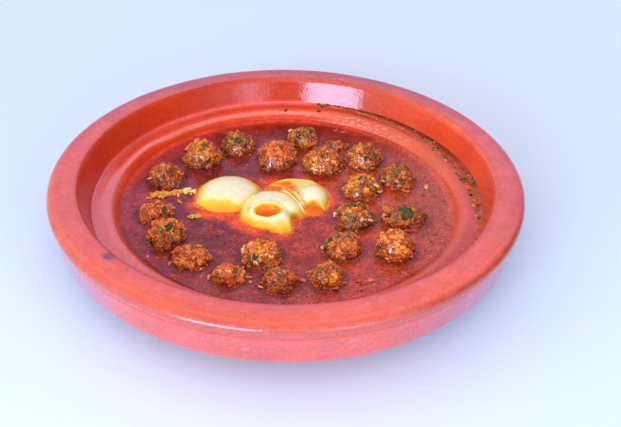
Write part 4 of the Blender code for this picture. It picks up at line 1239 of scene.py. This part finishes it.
for num, az, d, L, W, turn, col in (
        (5, -118, 0.4, 6.0, 2.6, -25, [0.80, 0.48, 0.22]), (9, -28, -2.0, 7.0, 3.0, -50, [0.90, 0.44, 0.08]), (9, -12, 0.6, 4.6, 2.0, 20, [0.86, 0.36, 0.08]),
        (6, -130, 0.6, 6.5, 2.8, 30, [0.80, 0.42, 0.12]), (7, 150, 1.6, 5.6, 2.2, 75, [0.88, 0.52, 0.30]), (15, 200, 1.2, 4.2, 2.0, -40, [0.84, 0.40, 0.12]),
        (15, 10, 1.5, 6.5, 3.0, -25, [0.86, 0.20, 0.07]), (14, 160, 1.0, 5.0, 2.2, 60, [0.82, 0.20, 0.08]), (14, -60, 1.0, 4.4, 2.0, 10, [0.66, 0.16, 0.03]),
        (17, 190, 0.8, 6.0, 2.0, 70, [0.84, 0.36, 0.14]), (17, -10, 0.8, 5.2, 2.2, -10, [0.82, 0.26, 0.09]), (18, 200, 1.4, 5.0, 2.2, 65, [0.80, 0.16, 0.04]),
        (3, 8, 0.0, 6.0, 3.0, 70, [0.86, 0.34, 0.10]), (4, 150, -1.0, 5.0, 2.4, 20, [0.88, 0.50, 0.24]), (16, 178, -0.5, 5.6, 2.6, 95, [0.80, 0.46, 0.20]),
        (10, 175, 0.5, 5.5, 2.4, 80, [0.86, 0.52, 0.16]), (10, -60, -2.0, 5.0, 2.0, 25, [0.76, 0.40, 0.16]), (13, 172, 0.5, 5.0, 2.2, 75, [0.82, 0.38, 0.12]),
        (12, -100, -2.5, 4.6, 2.2, 35, [0.80, 0.42, 0.20]), (11, 184, -2.0, 6.0, 3.0, 60, [0.86, 0.28, 0.07]), (19, 20, 0.5, 5.0, 2.2, 120, [0.86, 0.34, 0.08]),
        (20, 40, 0.3, 6.0, 2.6, 15, [0.88, 0.30, 0.06]), (21, -160, 0.0, 5.5, 2.6, 40, [0.84, 0.30, 0.08]), (8, -150, 0.8, 5.2, 2.0, 20, [0.82, 0.36, 0.12])):
    x, y = near_ball(num, az, d)
    sliver(onion, x, y, L, W, turn, col, bend=rng.uniform(-0.25, 0.3), thick=1.1)
for x, y, L, W, turn, col in ((100.0, 20.5, 6.5, 3.2, 80, [0.84, 0.36, 0.14]), (84.0, 15.5, 7.0, 3.4, 150, [0.72, 0.16, 0.05]), (-96.0, 1.0, 5.0, 2.6, 20, [0.86, 0.28, 0.06]),
                              (-74.0, -2.0, 5.4, 2.4, 130, [0.84, 0.22, 0.05])):
    sliver(onion, x, y, L, W, turn, col, bend=0.15, thick=1.0)
onion.make("onion_slivers", ONION)

# soft tomato flesh clinging to and floating by the balls
flesh = Bits()
for num, az, d, a_, b_, c_, col in (
        (11, 178, -7.0, 7.0, 5.2, 2.6, [0.86, 0.17, 0.022]), (11, 205, -2.0, 3.8, 3.0, 1.8, [0.82, 0.12, 0.02]), (11, -75, 1.0, 4.2, 2.0, 1.0, [0.72, 0.09, 0.03]),
        (15, 12, -1.0, 3.0, 2.2, 1.4, [0.80, 0.10, 0.03]), (3, -20, -5.0, 5.0, 3.4, 2.0, [0.76, 0.08, 0.012]), (3, 178, -2.0, 3.4, 2.8, 1.8, [0.80, 0.12, 0.02]),
        (20, 30, -3.0, 4.2, 3.0, 1.8, [0.80, 0.14, 0.03]), (19, 10, -3.0, 3.4, 2.4, 1.5, [0.76, 0.12, 0.02]), (21, -60, -3.0, 3.6, 2.2, 1.4, [0.74, 0.10, 0.02]),
        (17, -100, -3.5, 4.6, 3.0, 1.5, [0.80, 0.16, 0.04]), (18, 180, -2.5, 3.6, 2.6, 1.6, [0.76, 0.10, 0.02]), (14, 170, -2.0, 3.4, 2.4, 1.6, [0.82, 0.14, 0.05]),
        (13, -70, -3.0, 4.0, 2.4, 1.4, [0.74, 0.10, 0.02]), (7, -150, -3.0, 3.6, 2.2, 1.4, [0.80, 0.20, 0.03])):
    x, y = near_ball(num, az, d)
    z0 = surface_z(x * MM, y * MM) / MM
    lump(flesh, x, y, (a_ * 0.92, b_ * 0.85, c_ * 0.72), col, rng, detail=4, rough=0.75, lift=-0.35, z=max(z0, S / MM))
flesh.make("tomato_flesh", TOMATO)

# crumbs of mince, onion and tomato round every ball and loose in the sauce
crumbs = Bits()
for num in range(1, 22):
    c, half = ball_info[num]
    for k in range(11):
        az = rng.uniform(0, 360) if rng.random() < 0.45 else rng.normal(-90, 55)
        d = abs(rng.normal(0, 1.6)) - 0.6
        x, y = near_ball(num, az, d)
        s_ = rng.uniform(0.45, 1.3)
        col = (BROWN, [0.50, 0.10, 0.02], BRICK, [0.56, 0.12, 0.04], BRICK, [0.60, 0.19, 0.04], BRICK, BROWN, [0.50, 0.12, 0.02])[rng.integers(9)]
        if rng.random() < 0.07:
            col = [0.78, 0.40, 0.16]
        lump(crumbs, x, y, (s_ * rng.uniform(0.9, 1.7), s_ * 0.8, s_ * 0.6), col, rng, detail=2, rough=0.4, lift=0.15)
for k in range(330):
    a, r_ = rng.uniform(0, 2 * math.pi), 112 * math.sqrt(rng.random())
    x, y = r_ * math.cos(a), r_ * math.sin(a)
    q = np.array([x]), np.array([y])
    if egg_gap(*q)[0] < 2.5 or rng.random() > 0.45 + 0.55 * float(sstep(-60, 70, x)):
        continue
    s_ = rng.uniform(0.35, 1.05)
    col = (BRICK, [0.66, 0.15, 0.03], [0.70, 0.18, 0.09], BROWN, [0.74, 0.24, 0.05], BRICK, [0.60, 0.12, 0.05])[rng.integers(7)]
    if rng.random() < 0.05:
        col = PALE
    lump(crumbs, x, y, (s_ * rng.uniform(1.0, 2.0), s_ * 0.8, s_ * 0.35), col, rng, detail=2, rough=0.4, lift=-0.1)
crumbs.make("sauce_crumbs", SPECK)

# chopped herb afloat, thicker to the right
leaves = Bits()
spots = [(x_, y_) for x_, y_ in ((-51.0, -9.5), (-37.5, -68.0), (96.0, 10.0), (6.0, -14.5), (-30.0, -26.0), (-88.0, -52.0), (-12.0, -78.0), (70.0, -75.0), (88.0, -30.0), (60.0, -52.0))]
for k in range(150):
    a, r_ = rng.uniform(0, 2 * math.pi), 111 * math.sqrt(rng.random())
    x, y = r_ * math.cos(a), r_ * math.sin(a)
    if rng.random() < 0.30 + 0.70 * float(sstep(-50, 80, x)):
        spots.append((x, y))
for k, (x, y) in enumerate(spots):
    if egg_gap(np.array([x]), np.array([y]))[0] < 2.0:
        continue
    L = rng.uniform(1.8, 3.6) if k < 10 else rng.uniform(0.8, 2.3)
    leaf(leaves, x, y, L, L * rng.uniform(0.4, 0.75), rng.uniform(0, 180), (DEEP, GREEN, DEEP, OLIVE)[rng.integers(4)], rng, thick=0.16, n=6, m=4, lift=0.05)
leaves.make("floating_herbs", HERB)

# thin sauce left on the lid seat at the right and back, with herb and orange bits
PUDDLE_AZ = np.array([-24, -12, -2.7, 10.2, 30.9, 41.6, 53.6, 68.0, 78.0])
PUDDLE_IN = np.array([132.8, 129.2, 125.2, 123.2, 123.0, 123.6, 125.6, 130.2, 132.8])
n_t, n_r = 230, 18
pa = np.radians(np.linspace(-24, 78, n_t))
pin = np.interp(np.degrees(pa), PUDDLE_AZ, PUDDLE_IN)
pv, pc, pr = [], [], []
for i in range(n_r):
    u_ = i / (n_r - 1)
    rim_ = pin + 0.9 * vnoise(np.stack([pa * 18, pa * 0, pa * 0], 1), 97)
    r_ = rim_ + (133.9 - rim_) * u_
    x, y = r_ * np.cos(pa), r_ * np.sin(pa)
    p = np.stack([x, y, x * 0], 1)
    n6, n2 = fbm(p / 6.0, 98, 3), fbm(p / 1.7, 99, 3)
    z = np.array([(TREES[1].ray_cast(Vector((a * MM, b * MM, 0.2)), Vector((0, 0, -1)))[0] or Vector((0, 0, 0.034))).z for a, b in zip(x, y)]) / MM
    body = np.clip(np.minimum(u_ * 5, 1), 0, 1) * sstep(-24, -18, np.degrees(pa)) * (1 - sstep(72, 78, np.degrees(pa)))
    flat = np.full(n_t, 34.55)
    film = 0.22 * sstep(0.0, 0.2, u_ + 0.12 * n6 + 0.06 * n2)
    zt = np.where(i < n_r - 2, np.maximum(z + film, np.minimum(flat, z + 0.7)), z) + 0.08 * n2 * body + 0.05
    zt = z - 0.12 + (zt - z + 0.12) * body
    pv.append(np.stack([x, y, zt], 1))
    c = mixc([0.34, 0.060, 0.045], [0.62, 0.13, 0.055], 0.5 + 0.8 * n6 + 0.3 * n2)
    c = mixc(c, [0.14, 0.026, 0.014], 0.5 * sstep(0.1, 0.6, -n6 - 0.3 * n2))
    c = mixc(c, [0.74, 0.090, 0.024], 0.8 * (1 - sstep(0.0, 0.16, u_ + 0.15 * n6)))
    # painted shade: darker towards the crease along the puddle's outer edge
    c = mixc(c, [0.20, 0.012, 0.002], 0.90 * sstep(0.52, 0.80, u_ + 0.1 * n6) * sstep(4, 30, np.degrees(pa)))
    pc.append(c)
pv = np.concatenate(pv); pc = np.concatenate(pc)
low = pv.copy(); low[:, 2] -= 0.5
pf = [tuple(q) for q in grid_faces(n_r, n_t, False).tolist()]
N_ = len(pv)
pf += [tuple(N_ + k for k in reversed(q)) for q in pf]
edge_ = list(range(n_t)) + [i * n_t + n_t - 1 for i in range(1, n_r)] + [(n_r - 1) * n_t + j for j in range(n_t - 2, -1, -1)] + [i * n_t for i in range(n_r - 2, 0, -1)]
pf += [(b, a, N_ + a, N_ + b) for a, b in zip(edge_, edge_[1:] + edge_[:1])]
make("ledge_puddle", np.concatenate([pv, low]) * MM, pf, SAUCE, {"Col": np.concatenate([pc, pc]), "Rough": np.full(2 * N_, 0.16), "Speck": np.full(2 * N_, 0.7)})

ledge_bits, ledge_herbs = Bits(), Bits()
for k in range(120):
    az = rng.uniform(-14, 74) if k > 26 else (77.7, 30.0, 10.0, 33.0, 8.0)[k % 5] + rng.normal(0, 1.6)
    rin = float(np.interp(az, PUDDLE_AZ, PUDDLE_IN))
    r_ = rng.uniform(min(rin + 0.6, 132.0), 133.2)
    x, y = r_ * math.cos(math.radians(az)), r_ * math.sin(math.radians(az))
    if k % 4 == 0 or k <= 26 and k % 2:
        L = rng.uniform(1.2, 3.2)
        leaf(ledge_herbs, x, y, L, L * rng.uniform(0.45, 0.8), rng.uniform(0, 180), (DEEP * 1.5, GREEN, OLIVE * 1.2)[rng.integers(3)], rng, thick=0.2, n=7, m=5, lift=0.35)
    else:
        s_ = rng.uniform(0.35, 1.0)
        lump(ledge_bits, x, y, (s_ * 1.5, s_, s_ * 0.6), (BROWN, AMBER, BRICK, DARK, ROSE)[rng.integers(5)], rng, detail=2, rough=0.4, lift=0.6)
for px_, py_ in ((24.0, 119.5), (27.0, 127.0), (-2.0, 121.0)):
    leaf(ledge_herbs, px_, py_, 3.2, 2.0, rng.uniform(0, 180), DEEP, rng, thick=0.2, n=7, m=5, lift=0.2)
ledge_bits.make("ledge_crumbs", SPECK)
ledge_herbs.make("ledge_herbs", HERB)

# ------------------------------------------------------------- floor, light
fm = Nodes("floor_look")
fc = fm.mix(rgba(0.700, 0.755, 0.860), rgba(0.715, 0.760, 0.865), fm.noise(2.2, 2))
fy = fm.nt.nodes.new("ShaderNodeSeparateXYZ")
fm.link(fm.coord, fy.inputs[0])
# painted light: the floor is painted lighter and bluer towards the front
fc = fm.mix(fc, rgba(0.825, 0.895, 0.99), fm.rng(fy.outputs["Y"], 0.05, -0.22, 0.0, 1.0))
fm.put("Base Color", fc)
fm.put("Roughness", fm.rng(fm.noise(30, 2), 0.3, 0.7, 0.42, 0.5)).put("IOR", 1.3)
bpy.ops.mesh.primitive_plane_add(size=12.0, location=(0, 0, 0))
floor = bpy.context.object
floor.name = "floor"
floor.data.materials.append(fm.mat)

world = bpy.data.worlds.new("studio")
bpy.context.scene.world = world
world.use_nodes = True
wt = world.node_tree
wt.nodes.clear()


def wn(kind, **kw):
    n = wt.nodes.new(kind)
    for k, v in kw.items():
        setattr(n, k, v)
    return n


w_out = wn("ShaderNodeOutputWorld"); w_bg = wn("ShaderNodeBackground")
wt.links.new(w_bg.outputs[0], w_out.inputs[0])
tc = wn("ShaderNodeTexCoord"); sep = wn("ShaderNodeSeparateXYZ")
wt.links.new(tc.outputs["Generated"], sep.inputs[0])


def ramp(stops, src):
    n = wn("ShaderNodeValToRGB")
    e = n.color_ramp.elements
    while len(e) > 1:
        e.remove(e[-1])
    for k, (pos, col) in enumerate(stops):
        s = e[0] if k == 0 else e.new(pos)
        s.position = pos; s.color = (col[0] / 4, col[1] / 4, col[2] / 4, 1)
    wt.links.new(src, n.inputs[0])
    return n.outputs[0]


Z = sep.outputs["Z"]
TOPC = (1.02, 1.03, 1.02)
far = ramp([(0.0, (0.42, 0.50, 0.86)), (0.32, (0.50, 0.48, 0.98)), (0.48, (0.90, 0.80, 1.48)), (0.66, (1.00, 0.94, 1.30)), (0.84, (0.98, 0.98, 0.99)), (1.0, TOPC)], Z)
near_ = ramp([(0.0, (1.25, 1.55, 1.98)), (0.32, (1.42, 1.72, 2.12)), (0.48, (1.68, 1.92, 2.22)), (0.66, (1.65, 1.86, 2.08)), (0.84, (1.40, 1.50, 1.62)), (1.0, TOPC)], Z)
right = ramp([(0.0, (0.08, 0.05, 0.08)), (0.32, (0.20, 0.10, 0.16)), (0.48, (0.55, 0.40, 0.48)), (0.66, (0.85, 0.74, 0.82)), (0.84, (1.0, 1.0, 1.04)), (1.0, TOPC)], Z)
left = ramp([(0.0, (1.20, 1.22, 1.12)), (0.32, (1.22, 1.28, 1.20)), (0.48, (1.25, 1.32, 1.32)), (0.66, (1.28, 1.32, 1.32)), (0.84, (1.22, 1.22, 1.18)), (1.0, TOPC)], Z)


def wmath(op, a, b=0.0):
    n = wn("ShaderNodeMath"); n.operation = op
    for s_, v_ in zip(n.inputs, (a, b)):
        if hasattr(v_, "is_linked"):
            wt.links.new(v_, s_)
        else:
            s_.default_value = v_
    return n.outputs[0]


def wstep(x, a, b):
    n = wn("ShaderNodeMapRange"); n.interpolation_type = "SMOOTHSTEP"
    n.inputs["From Min"].default_value = a; n.inputs["From Max"].default_value = b
    wt.links.new(x, n.inputs["Value"])
    return n.outputs["Result"]


def wmix(a, b, f):
    n = wn("ShaderNodeMix"); n.data_type = "RGBA"
    for s_, v_ in zip((n.inputs[0], n.inputs[6], n.inputs[7]), (f, a, b)):
        wt.links.new(v_, s_)
    return n.outputs[2]


flat_len = wmath("MAXIMUM", wmath("SQRT", wmath("SUBTRACT", 1.0, wmath("MULTIPLY", Z, Z))), 0.02)
hx = wmath("DIVIDE", sep.outputs["X"], flat_len); hy = wmath("DIVIDE", sep.outputs["Y"], flat_len)
sky = wmix(near_, far, wstep(hy, -0.25, 0.6))
# a paler opening to the right of the camera and the dark shape of whoever holds it
front = wstep(wmath("MULTIPLY", hy, -1.0), 0.35, 0.6)
low = wmath("MULTIPLY", front, wmath("SUBTRACT", 1.0, wstep(Z, 0.22, 0.42)))
opening = wmath("MULTIPLY", low, wmath("MULTIPLY", wstep(hx, 0.22, 0.30), wmath("SUBTRACT", 1.0, wstep(hx, 0.66, 0.80))))
person = wmath("MULTIPLY", low, wmath("MULTIPLY", wstep(hx, -0.20, -0.12), wmath("SUBTRACT", 1.0, wstep(hx, 0.10, 0.20))))
bright = wn("ShaderNodeRGB"); bright.outputs[0].default_value = (2.9 / 4, 2.7 / 4, 2.7 / 4, 1)
dim = wn("ShaderNodeRGB"); dim.outputs[0].default_value = (0.30 / 4, 0.24 / 4, 0.22 / 4, 1)
sky = wmix(sky, bright.outputs[0], opening)
sky = wmix(sky, dim.outputs[0], person)
sky = wmix(sky, right, wstep(hx, 0.70, 0.95))
sky = wmix(sky, left, wstep(wmath("MULTIPLY", hx, -1.0), 0.35, 0.9))
lp = wn("ShaderNodeLightPath")
wm2 = wn("ShaderNodeMix"); wm2.data_type = "RGBA"
wt.links.new(lp.outputs["Is Camera Ray"], wm2.inputs[0]); wt.links.new(sky, wm2.inputs[6])
wm2.inputs[7].default_value = (0.74 / 4, 0.82 / 4, 0.97 / 4, 1)
wt.links.new(wm2.outputs[2], w_bg.inputs[0])
w_bg.inputs[1].default_value = 3.44


def soft_light(name, az, el, dist, w, h, watts, col):
    """az: degrees from the camera's side (-Y) towards -X."""
    a, e = math.radians(az), math.radians(el)
    d = Vector((-math.sin(a) * math.cos(e), -math.cos(a) * math.cos(e), math.sin(e)))
    L = bpy.data.lights.new(name, "AREA"); L.shape = "RECTANGLE"; L.size = w; L.size_y = h
    L.energy = watts; L.color = col
    o = bpy.data.objects.new(name, L); bpy.context.scene.collection.objects.link(o)
    o.location = d * dist + Vector((0, 0, 0.03))
    o.rotation_mode = "QUATERNION"; o.rotation_quaternion = (-d).to_track_quat("-Z", "Y")
    o.visible_camera = False
    return o


soft_light("window", 27, 13, 4.0, 2.15, 1.65, 120.0, (0.60, 0.93, 1.42))
soft_light("far_pane", -24, 13, 4.0, 0.80, 1.45, 12.5, (0.85, 0.80, 1.45))

# ------------------------------------------------------------------ camera
cam = bpy.data.cameras.new("view_camera")
cam.sensor_fit = "HORIZONTAL"; cam.sensor_width = 36.0; cam.lens = 54.25
cam.clip_start = 0.01; cam.clip_end = 60
co = bpy.data.objects.new("view_camera", cam)
bpy.context.scene.collection.objects.link(co)
co.matrix_world = Matrix(((0.9996218, -0.0118082, -0.0248342, 0.0),
                          (-0.0136994, 0.5692141, -0.8220752, -0.540969),
                          (0.0238432, 0.8221045, 0.5688371, 0.391983),
                          (0, 0, 0, 1)))
bpy.context.scene.camera = co
bpy.context.scene.view_settings.view_transform = "Standard"
